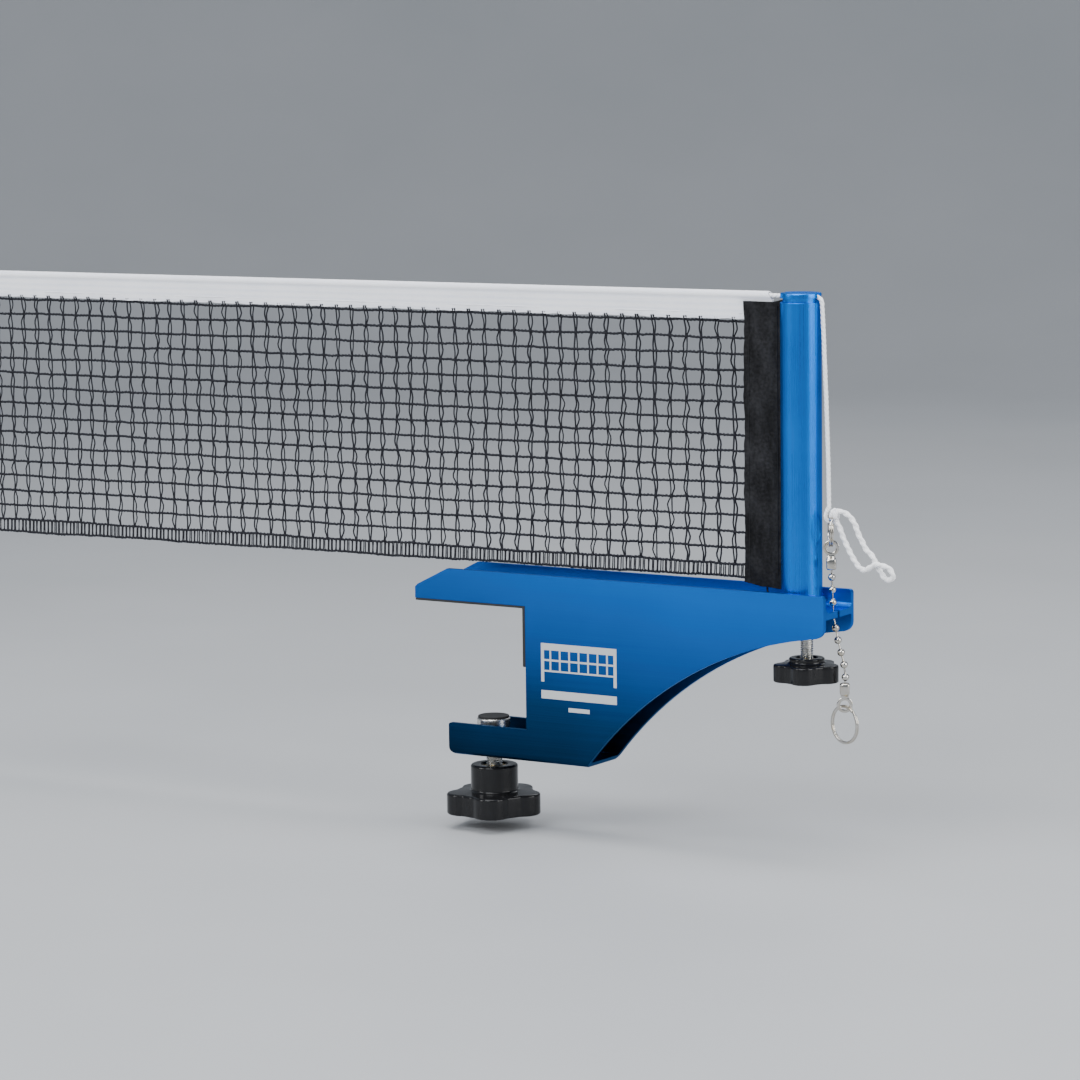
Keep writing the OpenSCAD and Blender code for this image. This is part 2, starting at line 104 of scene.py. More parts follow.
def make_camera():
    """Camera turned 32.4 degrees round the clamp, 7.5 degrees above it, rolled a little."""
    azimuth, elevation, roll = (math.radians(a) for a in (32.44, 7.45, -0.70))
    place, lens, sensor = (1.04675, -1.64367, 0.28560), 138.37, 36
    back = np.array([math.sin(azimuth) * math.cos(elevation),
                     -math.cos(azimuth) * math.cos(elevation), math.sin(elevation)])
    level = np.array([math.cos(azimuth), math.sin(azimuth), 0.0])
    upright = np.cross(back, level)
    right = math.cos(roll) * level + math.sin(roll) * upright
    up = math.cos(roll) * upright - math.sin(roll) * level
    camera = added("camera", bpy.data.cameras.new("camera"))
    camera.data.sensor_width, camera.data.lens = sensor, lens
    camera.data.clip_start, camera.data.clip_end = 0.05, 30
    camera.matrix_world = aimed(right, up, back, place)
    bpy.context.scene.camera = camera


# ------------------------------------------------------------------ mesh tools

def circle(steps):
    """Angles of a full circle in even steps, without the last, which would be the first again."""
    return np.linspace(0, TURN, steps, endpoint=False)


def walked(points):
    """Distance along a polyline at each of its points."""
    return np.r_[0, np.cumsum(np.linalg.norm(np.diff(points, axis=0), axis=1))]


def squared(v, power):
    """sign(v) * |v|**power, which squares up the cosine and sine of a circle."""
    return np.sign(v) * np.abs(v)**power


def skin(points, closed_rows=False):
    """One shell: the quads of a (rows, cols, 3) grid that is closed round its columns, and from
    its last row to its first too where that is asked for."""
    rows, cols = points.shape[:2]
    r = np.arange(rows if closed_rows else rows - 1)[:, None]
    c = np.arange(cols)[None, :]
    r2, c2 = (r + 1) % rows, (c + 1) % cols
    quads = np.stack([r * cols + c, r * cols + c2, r2 * cols + c2, r2 * cols + c], axis=-1)
    return points.reshape(-1, 3), quads.reshape(-1, 4).tolist()


def capped(points):
    """One shell: the skin of a grid with a flat cap on its first row and on its last."""
    rows, cols = points.shape[:2]
    corners, faces = skin(points)
    faces += [list(range(cols - 1, -1, -1)), list(range((rows - 1) * cols, rows * cols))]
    return corners, faces


def piece(name, shells, material, body, weld=False, smooth_angle=40, uv=None):
    """One object from several (points, faces) shells, given its finish and the body it rides on.
    Welding merges the points of each pole and turns the faces outwards."""
    points, faces, start = [], [], 0
    for shell_points, shell_faces in shells:
        points.append(np.asarray(shell_points, float))
        faces += [[index + start for index in face] for face in shell_faces]
        start += len(shell_points)
    mesh = bpy.data.meshes.new(name)
    mesh.from_pydata(np.vstack(points).tolist(), [], faces)
    if uv is not None:
        layer = mesh.uv_layers.new(name="UVMap")
        corners = np.zeros(len(mesh.loops), np.int32)
        mesh.loops.foreach_get("vertex_index", corners)
        layer.data.foreach_set("uv", np.asarray(uv, np.float32)[corners].ravel())
    if weld:
        work = bmesh.new()
        work.from_mesh(mesh)
        bmesh.ops.remove_doubles(work, verts=work.verts, dist=SHELL_GAP)
        bmesh.ops.recalc_face_normals(work, faces=work.faces)
        work.to_mesh(mesh)
        work.free()
    mesh.shade_smooth()
    mesh.set_sharp_from_angle(angle=math.radians(smooth_angle))
    thing = added(name, mesh)
    mesh.materials.append(material)
    if body:
        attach(thing, body)
    return thing


def refined(node, body, material, edge, segments):
    """A merged copy of a CAD node whose flat triangles are joined and whose sharp edges are broken."""
    flat, crease, corner = (math.radians(angle) for angle in (0.5, 32, 34))
    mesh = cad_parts[node].data.copy()
    mesh.materials.clear()
    work = bmesh.new()
    work.from_mesh(mesh)
    bmesh.ops.remove_doubles(work, verts=work.verts, dist=CAD_GAP)
    bmesh.ops.dissolve_limit(work, angle_limit=flat, verts=work.verts, edges=work.edges)
    work.to_mesh(mesh)
    work.free()
    mesh.shade_smooth()
    mesh.set_sharp_from_angle(angle=crease)
    thing = added(node + "_finished", mesh)
    mesh.materials.append(material)
    bevel = thing.modifiers.new("broken_edges", "BEVEL")
    bevel.width, bevel.segments, bevel.limit_method = edge, segments, "ANGLE"
    bevel.angle_limit, bevel.harden_normals = corner, True
    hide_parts(node)
    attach(thing, body)


def even_steps(points, spacing):
    """The same polyline walked in even steps of its own length."""
    lengths = walked(points)
    marks = np.linspace(0, lengths[-1], max(2, int(round(lengths[-1] / spacing)) + 1))
    return np.stack([np.interp(marks, lengths, points[:, axis]) for axis in range(3)], axis=1)


def smooth_route(points, spacing):
    """Catmull-Rom curve: between two points, the cubic whose end slopes are half the chord across
    each point's neighbours. It is then walked in even steps."""
    p = np.array(points, float)
    wide = np.vstack([2 * p[0] - p[1], p, 2 * p[-1] - p[-2]])
    slope = (wide[2:] - wide[:-2]) / 2
    t = np.linspace(0, 1, 24, endpoint=False)[None, :, None]
    a, b, da, db = (v[:, None, :] for v in (p[:-1], p[1:], slope[:-1], slope[1:]))
    cubic = ((2 * t**3 - 3 * t**2 + 1) * a + (t**3 - 2 * t**2 + t) * da
             + (3 * t**2 - 2 * t**3) * b + (t**3 - t**2) * db)
    return even_steps(np.vstack([cubic.reshape(-1, 3), p[-1:]]), spacing)


def tube(route, radius, sides, hint=(0, 1, 0)):
    """Tube round a route: point = route(s) + r(s, a) * (cos a * side + sin a * lift), where side is
    the hint made square to the route and lift is square to both. r may be an array over (s, a)."""
    along = np.gradient(route, axis=-2)
    along /= np.linalg.norm(along, axis=-1, keepdims=True)
    hint = np.broadcast_to(np.asarray(hint, float), route.shape)
    side = hint - along * np.sum(hint * along, axis=-1, keepdims=True)
    side /= np.linalg.norm(side, axis=-1, keepdims=True)
    lift = np.cross(along, side)
    a = circle(sides)
    ring = (np.cos(a)[:, None] * side[..., None, :] + np.sin(a)[:, None] * lift[..., None, :])
    radius = np.broadcast_to(radius, ring.shape[:-1])
    return route[..., None, :] + radius[..., None] * ring


def plied(route, radius, sides, plies, lay, depth, start=0.0):
    """Radius of a twisted cord: round lobes, r = R * (1 - depth * (1 - |cos(plies * (a + turn) / 2)|)),
    whose turn grows from its start by a full circle for each lay length of route."""
    s, a = walked(route)[:, None], circle(sides)
    lobes = np.abs(np.cos(plies * (a + TURN * s / lay + start) / 2))
    return radius * (1 - depth * (1 - lobes))


def lathe(profile, sides, centre=(0, 0, 0)):
    """Surface of revolution round a vertical axis: (r cos a, r sin a, z) for each (r, z) given."""
    r, z = np.array(profile, float).T
    a = circle(sides)
    rows = np.stack([r[:, None] * np.cos(a), r[:, None] * np.sin(a),
                     np.repeat(z[:, None], sides, axis=1)], axis=-1)
    return rows + np.asarray(centre, float)


def rounding(centre_r, centre_z, radius, start, end, count):
    """Points of an arc in a profile, from one angle to another in degrees."""
    a = np.radians(np.linspace(start, end, count))
    return [(centre_r + radius * math.cos(t), centre_z + radius * math.sin(t)) for t in a]


# ------------------------------------------------------------------ shader tools

class Wire:
    """An output socket of a shader node; sums, products and comparisons of wires are Math nodes."""

    def __init__(self, paint, socket):
        self.paint, self.socket = paint, socket

    def math(self, operation, a, b=0.0):
        """A Math node on two values or wires."""
        return self.paint.node("ShaderNodeMath", {"operation": operation}, {0: a, 1: b})

    def __add__(self, other):
        return self.math("ADD", self, other)

    __radd__ = __add__

    def __sub__(self, other):
        return self.math("SUBTRACT", self, other)

    def __rsub__(self, other):
        return self.math("SUBTRACT", other, self)

    def __mul__(self, other):
        return self.math("MULTIPLY", self, other)

    __rmul__ = __mul__

    def __gt__(self, other):
        return self.math("GREATER_THAN", self, other)

    def __lt__(self, other):
        return self.math("LESS_THAN", self, other)


class Paint:
    """A material and its Principled shader, with one method that adds any other node."""

    def __init__(self, name, **constants):
        self.material = bpy.data.materials.new(name)
        self.material.use_nodes = True
        self.tree = self.material.node_tree
        self.shader = self.tree.nodes["Principled BSDF"]
        for socket, value in constants.items():
            name_on_shader = socket.replace("_", " ").title().replace("Ior", "IOR")
            self.shader.inputs[name_on_shader].default_value = value
        self.position = self.node("ShaderNodeTexCoord", {}, {}, "Object")

    def node(self, kind, settings, inputs, out=0):
        """Adds a node with its settings, a ramp's stops among them, then its inputs as values or
        wires, and gives back one of its outputs."""
        made = self.tree.nodes.new(kind)
        stops = settings.pop("stops", None)
        for key, value in settings.items():
            setattr(made, key, value)
        if stops:
            ramp = made.color_ramp.elements
            while len(ramp) < len(stops):
                ramp.new(0.5)
            for element, (place, colour) in zip(ramp, stops):
                element.position, element.color = place, (*colour, 1)
        for key, value in inputs.items():
            if isinstance(value, Wire):
                self.tree.links.new(value.socket, made.inputs[key])
            else:
                made.inputs[key].default_value = value
        return Wire(self, made.outputs[out])

    def feed(self, **wires):
        """Links wires to the shader's sockets and gives back the finished material."""
        for socket, wire in wires.items():
            self.tree.links.new(wire.socket, self.shader.inputs[socket.replace("_", " ")])
        return self.material

    def spaced(self, scale, turn=(0, 0, 0)):
        """The piece's own coordinates, turned and then scaled by axis."""
        return self.node("ShaderNodeMapping", {}, {"Vector": self.position, "Scale": scale,
                         "Rotation": turn})

    def noise(self, scale, detail=3.0, vector=None):
        """Cloudy noise from 0 to 1."""
        return self.node("ShaderNodeTexNoise", {}, {"Vector": vector or self.position, "Scale": scale,
                         "Detail": detail, "Roughness": 0.55})

    def axes(self, vector=None):
        """The x, y and z of a vector, as three wires."""
        split = self.node("ShaderNodeSeparateXYZ", {}, {"Vector": vector or self.position})
        return [Wire(self, output) for output in split.socket.node.outputs]

    def clamp(self, wire, low=0.0, high=1.0):
        """A value kept between two limits."""
        return self.node("ShaderNodeClamp", {}, {"Value": wire, "Min": low, "Max": high})

    def wave(self, wire):
        """Sine of a value, from -1 to 1."""
        return wire.math("SINE", wire)

    def mix(self, share, first, second):
        """Colour that goes from the first to the second as the share goes from 0 to 1."""
        first, second = (c if isinstance(c, Wire) else (*c, 1) for c in (first, second))
        return self.node("ShaderNodeMix", {"data_type": "RGBA"}, {0: share, 6: first, 7: second}, 2)

    def ramp(self, wire, *stops):
        """Colour read from (place, colour) stops."""
        return self.node("ShaderNodeValToRGB", {"stops": stops}, {0: wire})

    def bump(self, height, distance, strength):
        """Normals of a relief so deep in metres."""
        return self.node("ShaderNodeBump", {}, {"Height": height, "Distance": distance,
                         "Strength": strength})


# ------------------------------------------------------------------ finishes

ANODISED = {"metallic": 0.9, "specular_tint": (0.30, 0.58, 0.95, 1)}


def net_mark(paint):
    """Mask of the printed mark on the front plate: a small net between two posts over two rules."""
    x, y, z = paint.axes()
    cell, line = 5.2 * MM, 1.3 * MM
    width, height = 8 * cell, 3 * cell + 2.8 * MM
    u, v = x - 11 * MM, z + 34 * MM
    inside = (u > 0.0) * (u < width) * (v > 0.0) * (v < height)
    uprights = u.math("PINGPONG", u, cell / 2) < line * 0.36
    rows = v.math("PINGPONG", v, cell / 2) < line * 0.36
    mesh = inside * paint.clamp(uprights + rows) * (v > cell * 0.93)
    band = inside * (v > 3 * cell)
    posts = inside * paint.clamp((u < line * 1.3) + (u > width - line * 1.3))
    long_rule = (u > 0.0) * (u < width) * (z < -38.0 * MM) * (z > -42.0 * MM)
    short_rule = (u > width * 0.36) * (u < width * 0.64) * (z < -45.5 * MM) * (z > -47.5 * MM)
    front = y < -14.3 * MM
    return paint.clamp(mesh + band + posts + long_rule + short_rule) * front


def brushed_blue():
    """Blue anodised extrusion brushed along its length, with painted shade that darkens it towards
    the lower arm and its left side, and a pale printed mark on one side."""
    paint = Paint("brushed_blue", roughness=0.34, **ANODISED)
    fine = paint.noise(1.0, 4.0, paint.spaced((14, 5200, 5200)))
    broad = paint.noise(1.0, 3.0, paint.spaced((7, 900, 900)))
    cloud = paint.noise(16.0, 2.0)
    x, _, z = paint.axes()
    # Painted shade: the share of full blue is none at the foot of the lower arm, 74 mm down, and full
    # 35 mm up, a little more to the right
    depth = paint.clamp((z + 74 * MM) * 9.2 + x * 1.3 + cloud * 0.16 - 0.02)
    # Blue at each share of the painted shade, from near black at the foot to full blue; the paler
    # streak colour below takes the same painted shade
    blue_with_painted_shade = paint.ramp(depth, (0.0, (0.0006, 0.008, 0.022)), (0.32, (0.0012, 0.026, 0.085)),
                     (0.68, (0.0036, 0.078, 0.335)), (1.0, (0.0060, 0.125, 0.540)))
    sheen = paint.mix(depth, (0.003, 0.030, 0.080), (0.025, 0.20, 0.60))
    streaked = paint.mix(paint.clamp(fine * 0.40 + broad * 0.30 - 0.20), blue_with_painted_shade, sheen)
    mark = net_mark(paint)
    colour = paint.mix(mark, streaked, (0.50, 0.51, 0.51))
    rough = fine * 0.16 + broad * 0.10 + 0.20 + mark * 0.2
    grooves = paint.bump(fine * 0.7 + broad * 0.3, 0.00004, 0.55)
    return paint.feed(Base_Color=colour, Roughness=rough, Normal=grooves, Metallic=0.9 - mark * 0.85)


def post_blue():
    """Satin blue anodised tube with faint lines along the extrusion."""
    paint = Paint("post_blue", roughness=0.27, **ANODISED)
    lines = paint.noise(1.0, 3.0, paint.spaced((2600, 2600, 10)))
    cloud = paint.noise(40.0, 2.0)
    colour = paint.mix(paint.clamp(lines * 0.6 + cloud * 0.4 - 0.15), (0.0040, 0.130, 0.560),
                       (0.011, 0.245, 0.860))
    return paint.feed(Base_Color=colour, Roughness=lines * 0.14 + cloud * 0.08 + 0.17,
                      Normal=paint.bump(lines, 0.00002, 0.4))


def gloss_black():
    """Moulded glossy black plastic with a trace of orange peel and fine handling scratches."""
    paint = Paint("gloss_black", roughness=0.2, specular_ior_level=0.18, coat_weight=0.12,
                  coat_roughness=0.08)
    peel = paint.noise(420.0, 2.0)
    scuffs = paint.noise(1.0, 5.0, paint.spaced((2200, 2200, 260), (0.3, 0.5, 0.2)))
    colour = paint.mix(scuffs, (0.0045, 0.0045, 0.005), (0.012, 0.012, 0.013))
    return paint.feed(Base_Color=colour, Roughness=paint.clamp(scuffs * 0.34 - 0.02, 0.10, 0.5),
                      Normal=paint.bump(peel, 0.00003, 0.35))


def zinc_steel():
    """Zinc-plated steel: bright, a little warm, with soft clouds and fine turning marks."""
    paint = Paint("zinc_steel", metallic=1.0, roughness=0.25)
    cloud = paint.noise(260.0, 4.0)
    turned = paint.noise(1.0, 2.0, paint.spaced((60, 60, 7000)))
    colour = paint.ramp(cloud, (0.25, (0.46, 0.45, 0.42)), (0.55, (0.66, 0.65, 0.62)),
                        (0.8, (0.76, 0.73, 0.66)))
    return paint.feed(Base_Color=colour, Roughness=cloud * 0.22 + turned * 0.12 + 0.10,
                      Normal=paint.bump(turned, 0.00001, 0.4))


def spring_steel():
    """Dark phosphated spring steel."""
    paint = Paint("spring_steel", metallic=0.9, roughness=0.45)
    cloud = paint.noise(700.0, 4.0)
    return paint.feed(Base_Color=paint.mix(cloud, (0.05, 0.05, 0.052), (0.17, 0.165, 0.16)),
                      Roughness=cloud * 0.3 + 0.3, Normal=paint.bump(cloud, 0.00001, 0.5))


def turned_brass():
    """Turned brass with duller patches."""
    paint = Paint("turned_brass", metallic=1.0, roughness=0.3)
    cloud = paint.noise(350.0, 3.0)
    return paint.feed(Base_Color=paint.mix(cloud, (0.42, 0.30, 0.13), (0.74, 0.58, 0.30)),
                      Roughness=cloud * 0.3 + 0.16, Normal=paint.bump(cloud, 0.00001, 0.4))


def nickel():
    """Bright nickel plate with a slightly brassy cast where it has worn."""
    paint = Paint("nickel", metallic=1.0, roughness=0.16)
    wear = paint.noise(330.0, 4.0)
    fine = paint.noise(2400.0, 2.0)
    colour = paint.ramp(wear, (0.3, (0.56, 0.55, 0.53)), (0.58, (0.50, 0.47, 0.41)),
                        (0.75, (0.44, 0.37, 0.24)))
    return paint.feed(Base_Color=colour, Roughness=wear * 0.18 + fine * 0.08 + 0.05,
                      Normal=paint.bump(fine, 0.000006, 0.5))


def black_rubber():
    """Matt black rubber with a fine grain."""
    paint = Paint("black_rubber", roughness=0.75, specular_ior_level=0.35)
    grain = paint.noise(2600.0, 3.0)
    cloud = paint.noise(90.0, 3.0)
    return paint.feed(Base_Color=paint.mix(cloud, (0.010, 0.010, 0.011), (0.024, 0.024, 0.025)),
                      Roughness=cloud * 0.2 + 0.62, Normal=paint.bump(grain, 0.00006, 0.5))


def smooth_rod():
    """Drawn fibre rod: dark, lightly streaked along its length."""
    paint = Paint("smooth_rod", roughness=0.4)
    streak = paint.noise(1.0, 3.0, paint.spaced((2400, 2400, 14)))
    return paint.feed(Base_Color=paint.mix(streak, (0.012, 0.012, 0.013), (0.04, 0.04, 0.042)),
                      Roughness=streak * 0.3 + 0.25, Normal=paint.bump(streak, 0.00002, 0.4))


def woven_white():
    """White cotton tape: plain weave on the tape's own width and length, with ribs along it."""
    paint = Paint("woven_white", roughness=0.9, sheen_weight=0.35, sheen_roughness=0.5)
    along, around, _ = paint.axes(paint.node("ShaderNodeUVMap", {"uv_map": "UVMap"}, {}))
    pitch = TURN / (0.55 * MM)
    warp, weft = paint.wave(along * pitch), paint.wave(around * pitch)
    weave = warp * weft * 0.5 + 0.5
    fuzz = paint.noise(2100.0, 4.0)
    cloud = paint.noise(70.0, 3.0)
    ribs = paint.wave(around * (TURN / (2.9 * MM))) * 0.5 + 0.5
    shade = paint.clamp(weave * 0.20 + fuzz * 0.40 + cloud * 0.35 + ribs * 0.26 - 0.10)
    colour = paint.ramp(shade, (0.1, (0.66, 0.69, 0.80)), (0.45, (0.86, 0.87, 0.92)),
                        (0.9, (0.95, 0.95, 0.96)))
    relief = weave * 0.5 + fuzz * 0.35 + ribs * 0.5
    return paint.feed(Base_Color=colour, Roughness=0.95 - fuzz * 0.15,
                      Normal=paint.bump(relief, 0.00010, 0.6))


def woven_black():
    """Black nylon sleeve: fine diagonal grid, paler where the threads cross, with soft creases whose
    ridges carry a painted highlight, and a faint speck."""
    paint = Paint("woven_black", roughness=0.85, specular_ior_level=0.18)
    x, _, z = paint.axes()
    pitch = TURN / (1.15 * MM)
    rising, falling = paint.wave((x + z) * pitch), paint.wave((x - z) * pitch)
    grid = rising * falling * 0.5 + 0.5
    creases = paint.noise(1.0, 2.0, paint.spaced((150, 150, 60), (0, 0.5, 0)))
    speck = paint.noise(700.0, 2.0)
    # Painted highlight: the crease ridges are paler in colour as well as raised in the bump
    shade = paint.clamp(grid * 0.55 + creases * 1.6 + speck * 1.1 - 1.30)
    colour = paint.mix(shade, (0.0014, 0.0014, 0.0018), (0.028, 0.028, 0.031))
    return paint.feed(Base_Color=colour, Roughness=0.92 - grid * 0.25,
                      Normal=paint.bump(grid * 0.12 + speck * 0.12 + creases * 1.4, 0.0012, 0.9))


def net_thread(name, dark, pale):
    """Dark twisted thread, paler on the crowns of its fibres."""
    paint = Paint(name, roughness=0.8, specular_ior_level=0.3)
    fibre = paint.noise(2400.0, 3.0)
    cloud = paint.noise(45.0, 2.0)
    return paint.feed(Base_Color=paint.mix(paint.clamp(fibre * 0.7 + cloud * 0.3), dark, pale),
                      Roughness=fibre * 0.2 + 0.65, Normal=paint.bump(fibre, 0.00006, 0.6))


def cotton_cord():
    """White twisted cotton cord, greyer between its plies and hairy all over."""
    paint = Paint("cotton_cord", roughness=0.92, sheen_weight=0.4, sheen_roughness=0.5)
    along, around, _ = paint.axes(paint.node("ShaderNodeUVMap", {"uv_map": "UVMap"}, {}))
    fibres = paint.wave(around * (12 * TURN) + along * (TURN / (1.1 * MM))) * 0.5 + 0.5
    fuzz = paint.noise(2600.0, 4.0)
    cloud = paint.noise(120.0, 2.0)
    shade = paint.clamp(fibres * 0.35 + fuzz * 0.5 + cloud * 0.3)
    colour = paint.ramp(shade, (0.12, (0.74, 0.74, 0.79)), (0.42, (0.93, 0.93, 0.94)),
                        (0.9, (0.97, 0.97, 0.97)))
    return paint.feed(Base_Color=colour, Roughness=0.98 - fuzz * 0.1,
                      Normal=paint.bump(fibres * 0.6 + fuzz * 0.6, 0.00010, 0.6))


def pale_floor():
    """Plain pale floor with the faintest mottle."""
    paint = Paint("pale_floor", roughness=0.6)
    mottle = paint.noise(5.0, 3.0)
    return paint.feed(Base_Color=paint.mix(mottle, (0.385, 0.395, 0.405), (0.435, 0.44, 0.45)),
                      Roughness=mottle * 0.1 + 0.55)


# ------------------------------------------------------------------ cords

# Routes in millimetres, the same points that the CAD tubes follow
CORD_ROUTE = [(120, 0, 150.3), (126, 0, 150.3), (132, 0, 150.3), (138, 0, 150.3), (144, 0, 150.3),
              (148, 0, 150.3), (150.9, 0, 150.3), (152.1, 0, 150), (153.1, 0, 149.4),
              (153.8, 0, 148.4), (154, 0, 147.2), (154.3, 0, 142), (154.6, 0, 136), (154.9, 0, 130),
              (155.1, 0, 124), (155.4, 0, 118), (155.6, 0, 112), (155.9, 0, 106), (156.1, 0, 100),
              (156.3, 0, 94), (156.5, 0, 88), (156.7, 0, 82), (156.9, 0, 76), (157, 0, 70),
              (157.1, 0, 64), (157.2, 0, 59), (157.2, 0, 55.2)]
BOW_ROUTE = [(160, 0, 53), (163.4, 0.4, 53.4), (166.8, 0.8, 51.8), (169.4, 1, 48.8), (171.2, 1.1, 45),
             (172.8, 1.2, 41.2), (175, 1.2, 37.8), (177.6, 1.2, 34.8), (180, 1.2, 31.8),
             (181.6, 1.2, 28.6), (184, 0.9, 25.6), (186.6, 0.4, 23.7), (188.9, 0, 24),
             (189.6, -0.4, 26.4), (188, -0.8, 29), (185.2, -1.1, 30.4), (182.2, -1.2, 30.6),
             (179.2, -1.2, 29.4), (176.4, -1.2, 27.8), (173.4, -1.1, 28.4), (171, -1, 31.6),
             (168.6, -0.9, 35), (166.4, -0.8, 38.8), (164.6, -0.7, 42.6), (162.8, -0.5, 46.4),
             (160.4, -0.2, 50.2)]
TIE_ROUTE = [(125, 0, 16.5), (125.2, 0, 14.8), (126.4, 0, 13.5), (128.6, 0, 13.1), (131, 0, 13.1),
             (133.5, 0, 13.1)]
# The cord's nominal diameter, and its width where it is taut and where it is slack and fluffier
CORD_D, TAUT_D, SLACK_D = 2.2 * MM, 2.05 * MM, 2.65 * MM


def tube_uv(route, sides):
    """UV of a tube: u is metres along the route, v the share of the way round."""
    shares = np.arange(sides) / sides
    return np.stack(np.meshgrid(walked(route), shares, indexing="ij"), axis=-1).reshape(-1, 2)


def twisted(name, route, diameter, material, body, plies=3, lay=3.4, depth=0.24,
            hint=(0, 1, 0)):
    """A twisted cord along a route, its lay given in diameters."""
    sides = 8 * plies
    radius = plied(route, diameter / 2, sides, plies, lay * diameter, depth)
    shells = [capped(tube(route, radius, sides, hint))]
    return piece(name, shells, material, body, uv=tube_uv(route, sides), smooth_angle=70)


def knot_route():
    """The knot: down through the ring and up again in a bight, then two turns wound to the right,
    x = x0 + pitch * t, y = R cos(turns), z = z0 + R sin(turns)."""
    bight = [(157.2, 0.0, 55.4), (156.5, -0.5, 53.2), (156.0, -0.7, 50.6), (157.0, 0.1, 49.0),
             (158.7, 0.9, 49.2), (159.5, 1.4, 50.6)]
    t = np.linspace(0, 1, 26)
    turns = np.radians(40 - 700 * t)
    wound = np.stack([158.4 + 3.6 * t, 1.75 * np.cos(turns), 52.0 + 1.85 * np.sin(turns)], axis=1)
    return smooth_route(np.vstack([bight, wound, [(162.6, 0.2, 53.4)]]) * MM, 0.3 * MM)


def make_cords(white, tie_dark):
    """Tension cord over the cap and down to the knot, the knot, the bow in the spare end, and the
    tie at the net's foot."""
    step = 0.32 * MM
    route = smooth_route(np.array(CORD_ROUTE) * MM, step)
    cord = twisted("tension_cord_twisted", route, TAUT_D, white, None)
    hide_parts("tension_cord")
    knot_line = knot_route()
    knot = twisted("cord_knot_wound", knot_line, 2.3 * MM, white, "bracket", depth=0.3,
                   hint=(0.35, 0.25, 1))
    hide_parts("cord_knot")
    bow_line = smooth_route(np.array(BOW_ROUTE) * MM, step)
    s = np.linspace(0, 1, len(bow_line))[:, None]
    kinks = np.hstack([0.26 * np.sin(61 * s + 1), 0.12 * np.sin(53 * s), 0.26 * np.sin(79 * s + 2)])
    bow_line = bow_line + kinks * MM * np.sin(np.pi * s)
    bow = twisted("cord_bow_twisted", bow_line, SLACK_D, white, "bracket", plies=2,
                  lay=2.8, depth=0.34)
    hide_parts("cord_bow")
    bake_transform(cord)
    tie_line = smooth_route(np.array(TIE_ROUTE) * MM, 0.3 * MM)
    tie = twisted("bottom_tie_twisted", tie_line, 1.0 * MM, tie_dark, "post", plies=2,
                  lay=2.6)
    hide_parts("bottom_tie")


# ------------------------------------------------------------------ net

NET_ROWS, ROW_PITCH, TOP_ROW = 16, 7.43 * MM, 138.0 * MM
PAIR_PITCH, BOTTOM_LINE = 8.5 * MM, 20.5 * MM
# Where the net starts to hang, and how far its top row, and its foot beyond that, hang at the far end
HANG_FROM, TOP_HANG, FOOT_HANG = 128 * MM, 1.8 * MM, 2.2 * MM
# Heights of the top cord's line and of the tape's lower edge
CORD_LINE, TAPE_HEM = 150.3 * MM, 139.2 * MM


def sag_at(x, z):
    """How far the net hangs below its line at the post: grows along the net, most at the bottom."""
    far = span("net_mesh")[0][0]
    share = (HANG_FROM - x) / (HANG_FROM - far)
    return share * (TOP_HANG + FOOT_HANG * (TOP_ROW - z) / (TOP_ROW - BOTTOM_LINE))


def ripple(x, phases, lengths, heights):
    """Sum of sines along x, with their lengths and heights, and one set of phases for each thread."""
    waves = enumerate(zip(lengths, heights))
    return sum(h * np.sin(TURN * x / w + phases[:, k:k + 1]) for k, (w, h) in waves)


def strands(routes, radius, sides, plies, lay, depth, hint):
    """Many tubes at once: routes is (threads, points, 3), and each thread is its own closed shell."""
    start = RNG.uniform(0, TURN, (len(routes), 1, 1))
    radii = plied(routes[0], radius, sides, plies, lay, depth, start)
    return [capped(thread) for thread in tube(routes, radii, sides, hint)]


def thread_rows(left, right):
    """Threads along the net: z is the row's height less the sag, with slow ripples in y and z and
    a small uneven step from each point to the next, as in a knotted braid."""
    step, unevenness = 0.65 * MM, 0.09 * MM
    x = np.linspace(left, right, int((right - left) / step))[None, :]
    heights = np.r_[TOP_ROW - ROW_PITCH * np.arange(NET_ROWS), BOTTOM_LINE][:, None]
    phases = RNG.uniform(0, TURN, (len(heights), 4))
    z = heights - sag_at(x, heights) + ripple(x, phases, (0.110, 0.041, 0.0184, 0.0093),
                                              (0.22 * MM, 0.10 * MM, 0.07 * MM, 0.06 * MM))
    y = ripple(x, phases[:, ::-1], (0.150, 0.052, 0.0184, 0.0101),
               (0.20 * MM, 0.10 * MM, 0.08 * MM, 0.05 * MM))
    z = z + RNG.normal(0, unevenness, z.shape)
    return np.stack([np.broadcast_to(x, z.shape), y, z], axis=-1)


